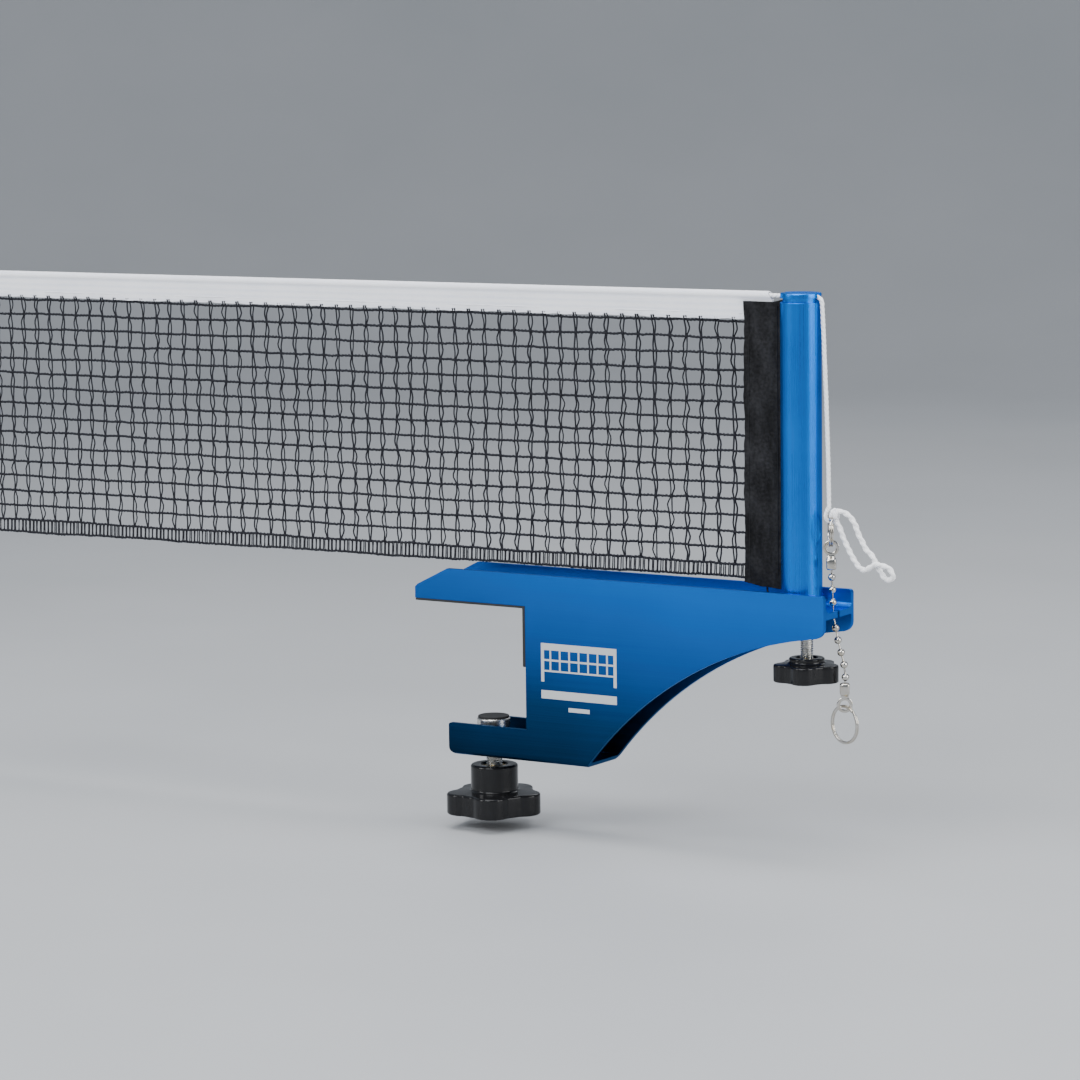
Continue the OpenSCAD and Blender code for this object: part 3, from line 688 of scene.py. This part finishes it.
def thread_pairs(left, right):
    """Pairs of threads down the net, pinned where they cross a row and bowed apart between rows:
    x = pair + pin(k) eased to pin(k+1) + bow * sin^2, over the share of the way between two rows."""
    pairs = np.arange(right - 3.2 * MM, left, -PAIR_PITCH)
    count, cells, per_cell = len(pairs), NET_ROWS, 5
    t = np.linspace(-0.30, cells - 1, cells * per_cell)
    cell = np.clip(np.floor(t), 0, cells - 2).astype(int)
    share = np.clip(t - cell, 0, 1)
    ease = share * share * (3 - 2 * share)
    pins = RNG.uniform(-0.36, 0.36, (count, 1, cells)) * MM
    pin = pins[..., cell] * (1 - ease) + pins[..., cell + 1] * ease
    bows = RNG.uniform(-0.85, 0.85, (count, 1, cells)) * MM
    part = RNG.uniform(0.0, 0.75, (count, 1, cells))**1.5 * MM
    hump = np.sin(np.pi * share)**2
    side = np.array([-1.0, 1.0])[None, :, None]
    x = (pairs[:, None, None] + pin + bows[..., cell] * hump
         + side * (0.56 * MM + part[..., cell] * hump))
    z = TOP_ROW - t * ROW_PITCH
    z = z - sag_at(x, z)
    z = np.where(t < 0, z - 0.15 * MM, z)
    # Above the first row both threads come forward, over the face of the tape
    over_tape = np.clip(-t / 0.28, 0, 1)
    y = side * 0.42 * MM * np.cos(np.pi * t) * (1 - over_tape) - 1.15 * MM * over_tape
    return np.stack([x, np.broadcast_to(y, x.shape), z], axis=-1).reshape(count * 2, len(t), 3)


def ladder(left, right):
    """Stitching between the last row and the bottom line: a slanted zigzag,
    z = middle + half height * clipped sine, x leaning with z."""
    count = int((right - left) / (1.2 * MM))
    t = np.linspace(0, count, count * 7)
    low, high = BOTTOM_LINE, TOP_ROW - (NET_ROWS - 1) * ROW_PITCH
    swing = np.clip(1.25 * np.sin(TURN * t / 2), -1, 1)
    jitter = np.interp(t, np.arange(count + 1), RNG.uniform(-0.32, 0.32, count + 1)) * MM
    x = left + (right - left) * np.floor(t + 0.5) / count + swing * 0.12 * MM + jitter
    z = (low + high) / 2 + swing * (high - low) / 2
    y = 0.45 * MM * np.cos(TURN * t / 2)
    return np.stack([x, y, z - sag_at(x, z)], axis=-1)[None]


def make_net(material):
    """Threads along the net with the pairs down it, and the stitching at its foot. The threads
    end inside the sleeve, 3 mm past the plain net."""
    low, high = span("net_mesh")
    left, right = low[0], high[0] + 3 * MM
    rows = strands(thread_rows(left, right), radius=0.74 * MM, sides=5, plies=2, lay=4.0 * MM,
                   depth=0.50, hint=(0, 1, 0))
    pairs = strands(thread_pairs(left + 2 * MM, right), radius=0.48 * MM, sides=4, plies=2,
                    lay=2.9 * MM, depth=0.28, hint=(0, 1, 0))
    threads = piece("net_threads", rows + pairs, material, "post", smooth_angle=80)
    sewn = strands(ladder(left, right), radius=0.30 * MM, sides=5, plies=2, lay=2.0 * MM,
                   depth=0.1, hint=(1, 0.3, 0))
    fringe = piece("net_fringe", sewn, material, "post", smooth_angle=80)
    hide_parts("net_mesh")


def fold(outline, thickness):
    """A strip's closed cross-section from its middle line: one side out and the other side back."""
    along = np.gradient(outline, axis=0)
    along /= np.linalg.norm(along, axis=1, keepdims=True)
    off = np.stack([-along[:, 1], along[:, 0]], axis=1) * thickness / 2
    return np.vstack([outline + off, (outline - off)[::-1]])


def make_tape(material):
    """White tape: its middle line runs up the front, round the cord and down the back, and that
    section is carried along x, with ripples of the lower edge and a cut end that leans."""
    low, high = span("net_tape")
    hem_y, thickness = 0.62 * MM, 0.42 * MM
    legs = np.linspace(0, 1, 12)[:, None]
    a = np.radians(np.linspace(-40, 220, 22))[:, None]
    bead = np.hstack([1.62 * np.cos(a), 1.72 * np.sin(a)]) * MM + [0, CORD_LINE]
    back = np.array([[hem_y, TAPE_HEM]]) * (1 - legs) + bead[:1] * legs
    front = bead[-1:] * (1 - legs) + np.array([[-hem_y, TAPE_HEM]]) * legs
    line = np.vstack([back[:-1], bead, front[1:]])
    section = fold(line, thickness)
    x = np.linspace(low[0], high[0], 420)[:, None]
    y, z = section.T[:, None, :]
    lowness = np.clip((CORD_LINE - z) / (CORD_LINE - TAPE_HEM), 0, 1)
    phases = RNG.uniform(0, TURN, (1, 6))
    sway = ripple(x.T, phases, (0.083, 0.031, 0.0146), (0.30 * MM, 0.16 * MM, 0.07 * MM)).T
    hem = ripple(x.T, phases[:, 3:], (0.061, 0.0092, 0.0153), (0.12, 0.10, 0.06)).T * MM
    pucker = ripple(x.T, phases[:, 1:], (0.0092, 0.0061, 0.0033), (0.05, 0.04, 0.03)).T * MM
    nap = RNG.normal(0, 0.035 * MM, (len(x), len(section)))
    side = np.sign(y)
    ys = y + sway * lowness * 0.8 + side * pucker * lowness * 1.4 + side * np.abs(nap)
    zs = z + hem * lowness - sag_at(x, TOP_ROW) + nap * 0.7
    # The last stretch is cut at a slant, short at the fold and long at the lower edge
    cut = 6 * MM
    lean = np.clip((CORD_LINE + 2 * MM - z) / (4.6 * MM), 0, 1)
    end_share = np.clip((x - (high[0] - cut)) / cut, 0, 1)
    xs = x + (lean * 2.5 - 2.0) * MM * end_share
    # Inside the sleeve the two legs lie closer together
    in_sleeve = np.clip((x - 110 * MM) / (4 * MM), 0, 1)
    tucked = in_sleeve * np.clip((149.4 * MM - zs) / (1.6 * MM), 0, 1)
    ys = ys * (1 - 0.52 * tucked)
    points = np.stack([np.minimum(xs, high[0] + 0.4 * MM), ys, zs], axis=-1)
    uv = np.stack(np.meshgrid(x[:, 0], walked(section), indexing="ij"), axis=-1).reshape(-1, 2)
    tape = piece("net_tape_woven", [capped(points)], material, "post", uv=uv,
                 smooth_angle=75)
    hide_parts("net_tape")
    stitches = seam(low[0] + 2 * MM, span("net_sleeve")[0][0] - 1 * MM, hem_y)
    thread = piece("tape_stitches", stitches, material, "post", smooth_angle=80,
                   uv=np.zeros((sum(len(s[0]) for s in stitches), 2)))


def seam(left, right, hem_y):
    """Two rows of lockstitch on the front and back of the tape: a thread that dips at every hole,
    y = face + depth * |sin|, along x. The faces stand 0.495 mm further out at the cord's line."""
    stitch, thread_r = 2.48 * MM, 0.16 * MM
    x = np.linspace(left, right, int((right - left) / (stitch / 4)))
    dip = np.abs(np.sin(np.pi * (x - left) / stitch))
    shells = []
    for height in (147.6 * MM, 142.0 * MM):
        face_y = hem_y + 0.495 * MM * (height - TAPE_HEM) / (CORD_LINE - TAPE_HEM)
        for side in (-1, 1):
            y = side * (face_y + thread_r + thread_r * dip)
            route = np.stack([x, y, height - sag_at(x, TOP_ROW)], axis=1)
            shells.append(capped(tube(route, thread_r, 5)))
    return shells


def make_sleeve(material, thread_black):
    """Black sleeve: its section runs along the front leaf, round the rod and back along the rear
    leaf, and is carried up from the slanted hem; the free edge wavers and the leaves are slack."""
    low, high = span("net_sleeve")
    rod_x = middle("sleeve_rod")[0]
    left = low[0]
    leaf_end, waist, leaf_y, waist_y = 129.5 * MM, 132.8 * MM, 1.12 * MM, 0.45 * MM
    leaf = np.linspace(left, waist, 26)
    neck = np.linspace(waist + 0.6 * MM, rod_x - 1.9 * MM, 5)
    xs = np.r_[leaf, neck]
    half = np.interp(xs, [leaf_end, waist], [leaf_y, waist_y])
    a = np.radians(np.linspace(-164, 164, 22))
    loop = np.stack([rod_x + 1.68 * MM * np.cos(a), 1.68 * MM * np.sin(a)], axis=1)
    front = np.stack([xs, -half], axis=1)
    rear = np.stack([xs, half], axis=1)[::-1]
    line = np.vstack([front, loop, rear])
    section = fold(line, 0.3 * MM)
    t = np.linspace(0, 1, 170)[:, None]
    x, y = section.T[:, None, :]
    base = np.interp(x, [left, waist, 140 * MM], [18.2 * MM, 15.9 * MM, 16.3 * MM])
    top = np.where(x < waist - 0.6 * MM, 147.5 * MM, 148.4 * MM)
    height = base + (top - base) * t
    free = np.clip((leaf_end - x) / (leaf_end - left), 0, 1)
    phases = RNG.uniform(0, TURN, (1, 8))
    edge = ripple(height, phases, (0.047, 0.0213, 0.0109, 0.0074), (0.20, 0.14, 0.10, 0.06)) * MM
    slack = ripple(height + x * 0.9, phases[:, 4:], (0.033, 0.0151, 0.0093), (0.34, 0.24, 0.15)) * MM
    side = np.sign(y)
    spread = np.sin(np.pi * np.clip((x - left) / (waist - left), 0, 1))
    px = x + edge * free**2
    py = y + side * np.abs(slack) * (0.35 * free + 0.55 * spread)
    hem = ripple(x, phases[:, 2:], (0.0131, 0.0061), (0.22, 0.12)) * MM * (1 - t)**6
    sleeve = piece("net_sleeve_woven", [capped(np.stack([px, py, height + hem], axis=-1))], material,
                   "post", smooth_angle=75)
    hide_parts("net_sleeve")
    seams = sleeve_seams(thread_black, left)


def sleeve_seams(material, left):
    """Two upright rows of black stitches through both leaves, beside the post and at the free edge:
    y = reach + depth * |sin|, along z."""
    stitch, thread_r = 2.4 * MM, 0.14 * MM
    z = np.arange(21 * MM, 146 * MM, stitch / 4)
    dip = np.abs(np.sin(np.pi * z / stitch))
    shells = []
    for x, reach in ((left + 2.6 * MM, 1.42 * MM), (131.4 * MM, 1.12 * MM)):
        for side in (-1, 1):
            route = np.stack([np.full(len(z), x), side * (reach + thread_r * dip), z], axis=1)
            shells.append(capped(tube(route, thread_r, 5)))
    return piece("sleeve_stitches", shells, material, "post", smooth_angle=80)


# ------------------------------------------------------------------ knobs and screws

def lobe_reach(a, ring, lobe, turn, recess):
    """Outline of a star knob in polar form: the far side of each of five circles, and the circle of
    the recesses, joined by a soft maximum, log(sum(exp(k r))) / k."""
    sharp = 1.5 / MM
    total = np.exp(sharp * (recess - ring))
    for k in range(5):
        off = a - math.radians(turn) - TURN * k / 5
        inside = lobe**2 - (ring * np.sin(off))**2
        reach = ring * np.cos(off) + np.sqrt(np.maximum(inside, 0))
        hit = (inside > 0) & (np.cos(off) > 0)
        total = total + np.where(hit, np.exp(sharp * (reach - ring)), 0)
    return ring + np.log(total) / sharp


def star_knob(name, node, bush, lobe_top, hub_r, ring, lobe, turn, recess, edge, material, body):
    """Star knob in one shell: each row of its profile has r = fixed + share * (outline - hub), so
    the round hub and the lobed disc are one surface, with every edge rounded."""
    (_, _, base_z), (_, _, hub_z) = span(node)
    centre = middle(bush)
    bush_r = (span(bush)[1][0] - span(bush)[0][0]) / 2
    fillet, mouth, lip, seat_z = 1.0 * MM, bush_r + 0.5 * MM, 0.3 * MM, hub_z - 1.5 * MM
    # Underside: a shallow dish within the hub, then out to the lobes
    rows = [(0, 0, base_z + 0.9 * MM), (hub_r * 0.55, 0, base_z + 0.9 * MM),
            (hub_r * 0.72, 0, base_z + 0.75 * MM), (hub_r * 0.80, 0, base_z + 0.2 * MM),
            (hub_r * 0.86, 0, base_z), (hub_r, 0, base_z), (hub_r, 0.5, base_z), (hub_r, 0.8, base_z)]
    # Rim of the lobes, and their top back to the hub
    rows += [(hub_r + r, 1, z) for r, z in rounding(-edge, base_z + edge, edge, -90, 0, 6)]
    rows += [(hub_r, 1, base_z + (lobe_top - base_z) * f) for f in (0.35, 0.5, 0.65)]
    rows += [(hub_r + r, 1, z) for r, z in rounding(-edge, lobe_top - edge, edge, 0, 90, 6)]
    rows += [(hub_r, share, lobe_top + (0.85 - share) * 0.5 * MM) for share in (0.8, 0.6, 0.4)]
    # Hub: fillet, side, rounded top, and the rounded mouth over the bush
    neck = rounding(fillet, lobe_top + 0.4 * MM + fillet, fillet, 270, 180, 6)
    rows += [(hub_r + r, 0, z) for r, z in neck]
    rows += [(hub_r, 0, lobe_top + (hub_z - lobe_top) * f) for f in (0.35, 0.6, 0.8)]
    rows += [(hub_r + r, 0, z) for r, z in rounding(-edge, hub_z - edge, edge, 0, 90, 6)]
    rows += [(mouth + r, 0, z) for r, z in rounding(lip, hub_z - lip, lip, 90, 180, 4)]
    rows += [(bush_r, 0, hub_z - 0.9 * MM), (bush_r - 0.2 * MM, 0, seat_z), (0, 0, seat_z)]
    fixed, share, z = np.array(rows, float).T[:, :, None]
    a = circle(260)[None, :]
    outline = lobe_reach(a, ring, lobe, turn, recess)
    r = fixed + share * (outline - hub_r)
    points = np.stack([centre[0] + r * np.cos(a), centre[1] + r * np.sin(a), z + 0 * a], axis=-1)
    knob = piece(name, [skin(points)], material, body, weld=True, smooth_angle=50)
    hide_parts(node)


# Depth of a screw thread as a share of its pitch
THREAD_DEPTH = 0.58


def screw_thread(major, pitch, z, a):
    """Radius of a screw thread at height z and angle a: a crest and root joined by 60-degree flanks,
    read from the share of a pitch that is left over from z / pitch - a / turn."""
    share = np.mod(z / pitch - a / TURN, 1.0)
    flank = np.clip(np.abs(2 * share - 1) * 1.45 - 0.2, 0, 1)
    return major - THREAD_DEPTH * pitch * flank


def make_screw(name, node, centre_x, major, pitch, thread_to, ends, body, material):
    """Screw: a thread that runs out at its foot and at its top, then the plain end, given as
    (radius, height) points."""
    sides, foot = 44, span(node)[0][2]
    a, z = circle(sides), np.arange(foot, thread_to, pitch / 12)[:, None]
    radius = screw_thread(major, pitch, z, a)
    fade = np.clip(np.minimum(z - foot, thread_to - z) / (0.8 * pitch), 0, 1)
    radius = np.minimum(radius, major - THREAD_DEPTH * pitch * (1 - fade))
    threaded = np.stack([centre_x + radius * np.cos(a), radius * np.sin(a), z + 0 * a], axis=-1)
    bottom = lathe([(0, foot)], sides, (centre_x, 0, 0))
    tip = lathe(ends, sides, (centre_x, 0, 0))
    screw = piece(name, [skin(np.concatenate([bottom, threaded, tip]))], material, body,
                  weld=True, smooth_angle=35)
    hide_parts(node)


def make_controls(black, zinc):
    """Both knobs, the clamp screw with its shoulder and the groove for the pad's clip, and the
    height screw with its plain tip."""
    star_knob("clamp_knob_moulded", "clamp_knob", "clamp_knob_bush", lobe_top=-92.1 * MM,
              hub_r=11.4 * MM, ring=15 * MM, lobe=8.3 * MM, turn=-63.6, recess=19.2 * MM,
              edge=1.1 * MM, material=black, body="clamp_screw")
    star_knob("height_knob_moulded", "height_knob", "height_knob_bush", lobe_top=-17.3 * MM,
              hub_r=8.2 * MM, ring=10 * MM, lobe=5.5 * MM, turn=-69.6, recess=12.6 * MM,
              edge=0.8 * MM, material=black, body="height_screw")
    gap, chamfer = 0.05 * MM, 0.3 * MM
    shoulder = span("pressure_pad")[0][2] - gap
    groove_low, groove_high = span("pad_clip")[0][2] - gap, span("pad_clip")[1][2] + gap
    neck, tip, groove, top = 3.2 * MM, 2.5 * MM, 2.0 * MM, span("clamp_screw")[1][2]
    ends = [(neck, shoulder - 0.2 * MM), (neck, shoulder), (tip, shoulder), (tip, groove_low),
            (groove, groove_low), (groove, groove_high), (tip, groove_high), (tip, top - chamfer),
            (tip - chamfer, top), (0, top)]
    make_screw("clamp_screw_threaded", "clamp_screw", middle("clamp_screw")[0], major=3.95 * MM,
               pitch=1.25 * MM, thread_to=shoulder - 0.4 * MM, ends=ends, body="clamp_screw",
               material=zinc)
    tip, tip_from, top = 2.4 * MM, 35.8 * MM, span("height_screw")[1][2]
    ends = [(tip, tip_from), (tip, top - chamfer), (tip - chamfer, top), (0, top)]
    make_screw("height_screw_threaded", "height_screw", middle("height_screw")[0], major=3.0 * MM,
               pitch=1.0 * MM, thread_to=tip_from - 0.2 * MM, ends=ends, body="height_screw",
               material=zinc)


def hexagon_nut(node, material):
    """Hexagon nut: r is the hexagon's reach at each angle, cut by a cone at both faces, round a
    chamfered hole."""
    low, high = span(node)
    centre = middle(node)
    flat, hole, chamfer = (high[1] - low[1]) / 2, 4.02 * MM, 0.4 * MM
    a = circle(96)[None, :]
    hexagon = flat / np.cos(np.mod(a + TURN / 12, TURN / 6) - TURN / 12)
    steps = np.linspace(0, 1, 6)[:, None]
    cone = flat - 0.15 * MM + steps * 1.3 * MM
    up = low[2] + steps * 0.75 * MM + 0 * a
    down = high[2] - steps[::-1] * 0.75 * MM + 0 * a
    reach = np.concatenate([np.minimum(hexagon, cone), np.minimum(hexagon, cone[::-1])])
    hole_r = np.array([[hole + chamfer], [hole], [hole], [hole + chamfer]]) + 0 * a
    hole_z = np.array([[high[2]], [high[2] - chamfer], [low[2] + chamfer], [low[2]]]) + 0 * a
    r, z = np.concatenate([reach, hole_r]), np.concatenate([up, down, hole_z])
    points = np.stack([centre[0] + r * np.cos(a), centre[1] + r * np.sin(a), z], axis=-1)
    nut = piece(node + "_chamfered", [skin(points, closed_rows=True)], material,
                "bracket", smooth_angle=25)
    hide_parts(node)


# ------------------------------------------------------------------ chain, rings and connectors

def split_ring(name, node, turn, width, band, body, material):
    """Split ring: two flat coils side by side. The section is a rounded rectangle carried round
    the circle twice, and it steps from one coil's plane to the other's where the first turn ends."""
    low, high = span(node)
    centre = middle(node)
    outer = (high[2] - low[2]) / 2
    coil_w, corner, cut_back, crossing = width / 2 - 0.03 * MM, 0.45, math.radians(8), 0.7
    t = np.linspace(cut_back, 2 * TURN - cut_back, 200)[:, None]
    step = np.clip((t - TURN + crossing / 2) / crossing, 0, 1)
    plane = (step * step * (3 - 2 * step) - 0.5) * width / 2
    q = circle(16)
    radial = outer - band / 2 + squared(np.cos(q), corner) * band / 2
    across = plane + squared(np.sin(q), corner) * coil_w / 2
    start = TURN * 0.12
    x, z = radial * np.cos(t + start), radial * np.sin(t + start)
    c, s = math.cos(math.radians(turn)), math.sin(math.radians(turn))
    points = np.stack([centre[0] + x * c - across * s, centre[1] + x * s + across * c,
                       centre[2] + z], axis=-1)
    ring = piece(name, [capped(points)], material, body, weld=True, smooth_angle=45)
    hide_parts(node)


def bead_shell(centre, along, radius):
    """A hollow chain bead: a ball drawn in to a small collar at the two holes, turned to the chain."""
    reach, collar, hole_r = 1.30, 0.93, 0.16 * radius
    ball = [(radius * math.cos(v), radius * math.sin(v)) for v in np.linspace(-1, 1, 15) * reach]
    end_z = ball[-1][1] * collar
    rows = lathe([(0, -end_z), (hole_r, -end_z), *ball, (hole_r, end_z), (0, end_z)], 22)
    z_axis = along / np.linalg.norm(along)
    x_axis = np.cross([0, 1, 0], z_axis)
    x_axis /= np.linalg.norm(x_axis)
    y_axis = np.cross(z_axis, x_axis)
    return skin(rows @ np.stack([x_axis, y_axis, z_axis]) + centre)


def bead_chain(name, node, beads, first_gap, body, material):
    """Balls at the bead centres and a dumb-bell wire from each to the next, thicker at its ends.
    Where a first gap is given, the first ball belongs to another chain and the wire starts there."""
    bead_r, inset = 1.75 * MM, 1.3 * MM
    beads = np.array(beads, float) * MM
    slopes = np.gradient(beads, axis=0)
    start = 1 if first_gap else 0
    shells = [bead_shell(bead, along, bead_r) for bead, along in zip(beads[start:], slopes[start:])]
    for k, (a, b) in enumerate(zip(beads[:-1], beads[1:])):
        lead = first_gap if first_gap and k == 0 else inset
        unit = (b - a) / np.linalg.norm(b - a)
        t = np.linspace(0, 1, 14)[:, None]
        route = a + unit * lead + t * (b - a - unit * (lead + inset))
        wire = (0.40 + 0.16 * np.abs(2 * t - 1)**6) * MM
        shells.append(capped(tube(route, wire, 12)))
    chain = piece(name, shells, material, body, weld=True, smooth_angle=35)
    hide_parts(node)


def connector(name, node, centre, side, body, material):
    """Folded connector: a flat eyelet with rolled edges, its centre in millimetres, and on its side,
    up 1 or down -1, a box round the end bead. The box's section, a rounded rectangle, swells from
    the neck, stays straight and turns in at its mouth."""
    hole, outer, half, rolled, boxy = 2.05 * MM, 3.7 * MM, 0.45 * MM, 0.6, 0.5
    a, turn = circle(14), circle(56)[:, None]
    ring_r = (hole + outer) / 2 + squared(np.cos(a), rolled) * (outer - hole) / 2
    ring_y = squared(np.sin(a), rolled) * half
    eyelet = np.stack([ring_r * np.cos(turn), ring_y + 0 * turn, ring_r * np.sin(turn)], axis=-1)
    # The box's rows from the neck to the mouth and back inside: height, half width and half depth
    rows = [(2.9, 1.95, 0.42), (3.6, 1.80, 0.50), (4.3, 1.85, 0.95), (4.9, 2.10, 1.75),
            (5.5, 2.28, 2.08), (6.4, 2.30, 2.18), (8.6, 2.30, 2.18), (9.3, 2.27, 2.12),
            (9.8, 2.05, 1.85), (10.0, 1.75, 1.50), (9.85, 1.55, 1.25), (9.5, 1.75, 1.6),
            (8.8, 1.92, 1.8), (6.0, 1.92, 1.8), (5.2, 1.3, 1.2), (5.1, 0.0, 0.0)]
    z, wide, deep = (np.array(rows, float) * MM).T[:, :, None]
    q = circle(40)
    box = np.stack([wide * squared(np.cos(q), boxy), deep * squared(np.sin(q), boxy),
                    side * z + 0 * q], axis=-1)
    lid = np.zeros((1, len(q), 3)) + [0, 0, side * z[0, 0]]
    box = np.concatenate([lid, box])
    if side < 0:
        box = box[:, ::-1]
    turned = math.radians(30)
    c, s = math.cos(turned), math.sin(turned)
    spin = np.array([[c, s, 0], [-s, c, 0], [0, 0, 1]])
    shells = [skin(shell @ spin + np.asarray(centre) * MM, closed)
              for shell, closed in ((eyelet, True), (box, False))]
    made = piece(name, shells, material, body, weld=True, smooth_angle=40)
    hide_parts(node)


# Bead centres in millimetres; both start at the bead that is seated in the bracket's slot
TAIL_BEADS = [(159.3, 0, 6.05), (160.4, 0, 0.2), (161.6, 0, -5.4), (163.2, 0, -10.9),
              (164.7, 0, -16.4), (165.4, 0, -22.1), (165.05, 0, -27.8)]
UPPER_BEADS = [(159.3 - 0.25 * k, 0, 6.05 + 5.75 * k) for k in range(5)]


def make_chain(metal):
    """Both split rings, both lengths of chain and the connectors between them."""
    split_ring("top_ring_split", "top_ring", turn=-58, width=2.0 * MM, band=1.2 * MM,
               body="bracket", material=metal)
    split_ring("key_ring_split", "key_ring", turn=-20, width=1.4 * MM, band=1.2 * MM,
               body="key_ring", material=metal)
    bead_chain("chain_upper_beads", "chain_upper", UPPER_BEADS, 0, "bracket", metal)
    bead_chain("chain_tail_beads", "chain_tail", TAIL_BEADS, 1.85 * MM, "chain_tail", metal)
    connector("top_connector_folded", "top_connector", (158.3, 0, 36.7), -1, "bracket", metal)
    connector("tail_connector_folded", "tail_connector", (165.0, 0, -34.9), 1, "chain_tail", metal)


# ------------------------------------------------------------------ pieces that keep their CAD shape

def make_metalwork(blue, post, zinc, spring, brass, rubber, rod):
    """Every piece that keeps its CAD shape, with its body, slot and finish, the width of its broken
    edges in millimetres and their segments; and the spigot's nut."""
    for node, body, slot, finish, edge, segments in (
            ("bracket", "bracket", "blue_anodised", blue, 0.28, 3),
            ("post_tube", "post", "post_anodised", post, 0.3, 3),
            ("post_cap", "post", "post_anodised", post, 0.22, 3),
            ("seat_pad", "bracket", "black_rubber", rubber, 0.45, 3),
            ("pad_facing", "pad", "black_rubber", rubber, 0.25, 2),
            ("pressure_pad", "pad", "zinc_steel", zinc, 0.2, 2),
            ("pad_clip", "clamp_screw", "spring_steel", spring, 0.12, 2),
            ("clamp_nut", "bracket", "zinc_steel", zinc, 0.25, 2),
            ("guide_spigot", "bracket", "zinc_steel", zinc, 0.3, 2),
            ("lift_plug", "post", "zinc_steel", zinc, 0.3, 2),
            ("clamp_knob_bush", "clamp_screw", "knob_brass", brass, 0.25, 2),
            ("height_knob_bush", "height_screw", "knob_brass", brass, 0.25, 2),
            ("sleeve_rod", "post", "fibre_rod", rod, 0.25, 2)):
        refined(node, body, finish, edge * MM, segments)
    hexagon_nut("spigot_nut", zinc)


# ------------------------------------------------------------------ stage

def soft_light(name, place, aim, size, power, tint=(1, 1, 1)):
    """A rectangular area light at a place, turned to its aim."""
    light = bpy.data.lights.new(name, "AREA")
    light.shape, light.size, light.size_y = "RECTANGLE", size[0], size[1]
    light.energy, light.color = power, tint
    back = np.array(place, float) - np.array(aim, float)
    back /= np.linalg.norm(back)
    right = np.cross([0, 0, 1], back)
    right /= np.linalg.norm(right)
    added(name, light).matrix_world = aimed(right, np.cross(back, right), back, place)


def make_stage():
    """Floor that curves up into a wall all round, so there is no horizon, and five soft lights."""
    floor_z = CAD_BOX[0][2] - 7 * MM
    flat, bend, wall = 2.2, 1.3, 1.45
    profile = [(0, floor_z), *rounding(flat, floor_z + bend, bend, -90, 0, 24),
               (flat + bend, floor_z + wall)]
    points, faces = skin(lathe(profile, 96))
    mesh = bpy.data.meshes.new("floor")
    mesh.from_pydata(points.tolist(), [], [face[::-1] for face in faces])
    mesh.shade_smooth()
    floor = added("floor", mesh)
    mesh.materials.append(pale_floor())
    world = bpy.data.worlds.new("studio")
    world.use_nodes = True
    sky = world.node_tree.nodes["Background"].inputs
    sky["Color"].default_value, sky["Strength"].default_value = (0.52, 0.60, 0.72, 1), 0.55
    bpy.context.scene.world = world
    soft_light("overhead", (0.1, -0.3, 1.6), (0.05, 0, 0), (1.4, 1.4), 34)
    soft_light("front_left", (-1.3, -1.6, 0.9), (0.05, 0, 0), (0.7, 1.1), 20)
    soft_light("front", (0.15, -2.0, 1.35), (0.05, 0, 0), (1.3, 0.8), 36, (0.94, 0.97, 1))
    soft_light("right_panel", (1.75, 0.10, 0.62), (0.14, 0, 0.05), (1.15, 1.1), 27)
    soft_light("behind", (-0.5, 2.0, 1.5), (0.05, 0, 0), (1.2, 0.9), 9)


# ------------------------------------------------------------------ build

make_camera()
white_cotton = cotton_cord()
navy_thread = net_thread("navy_thread", (0.0030, 0.0032, 0.0055), (0.014, 0.015, 0.022))
black_thread = net_thread("black_thread", (0.004, 0.004, 0.005), (0.016, 0.016, 0.018))
make_cords(white_cotton, black_thread)
make_net(navy_thread)
make_tape(woven_white())
make_sleeve(woven_black(), black_thread)
steel = zinc_steel()
make_controls(gloss_black(), steel)
make_chain(nickel())
make_metalwork(brushed_blue(), post_blue(), steel, spring_steel(), turned_brass(), black_rubber(),
               smooth_rod())
make_stage()
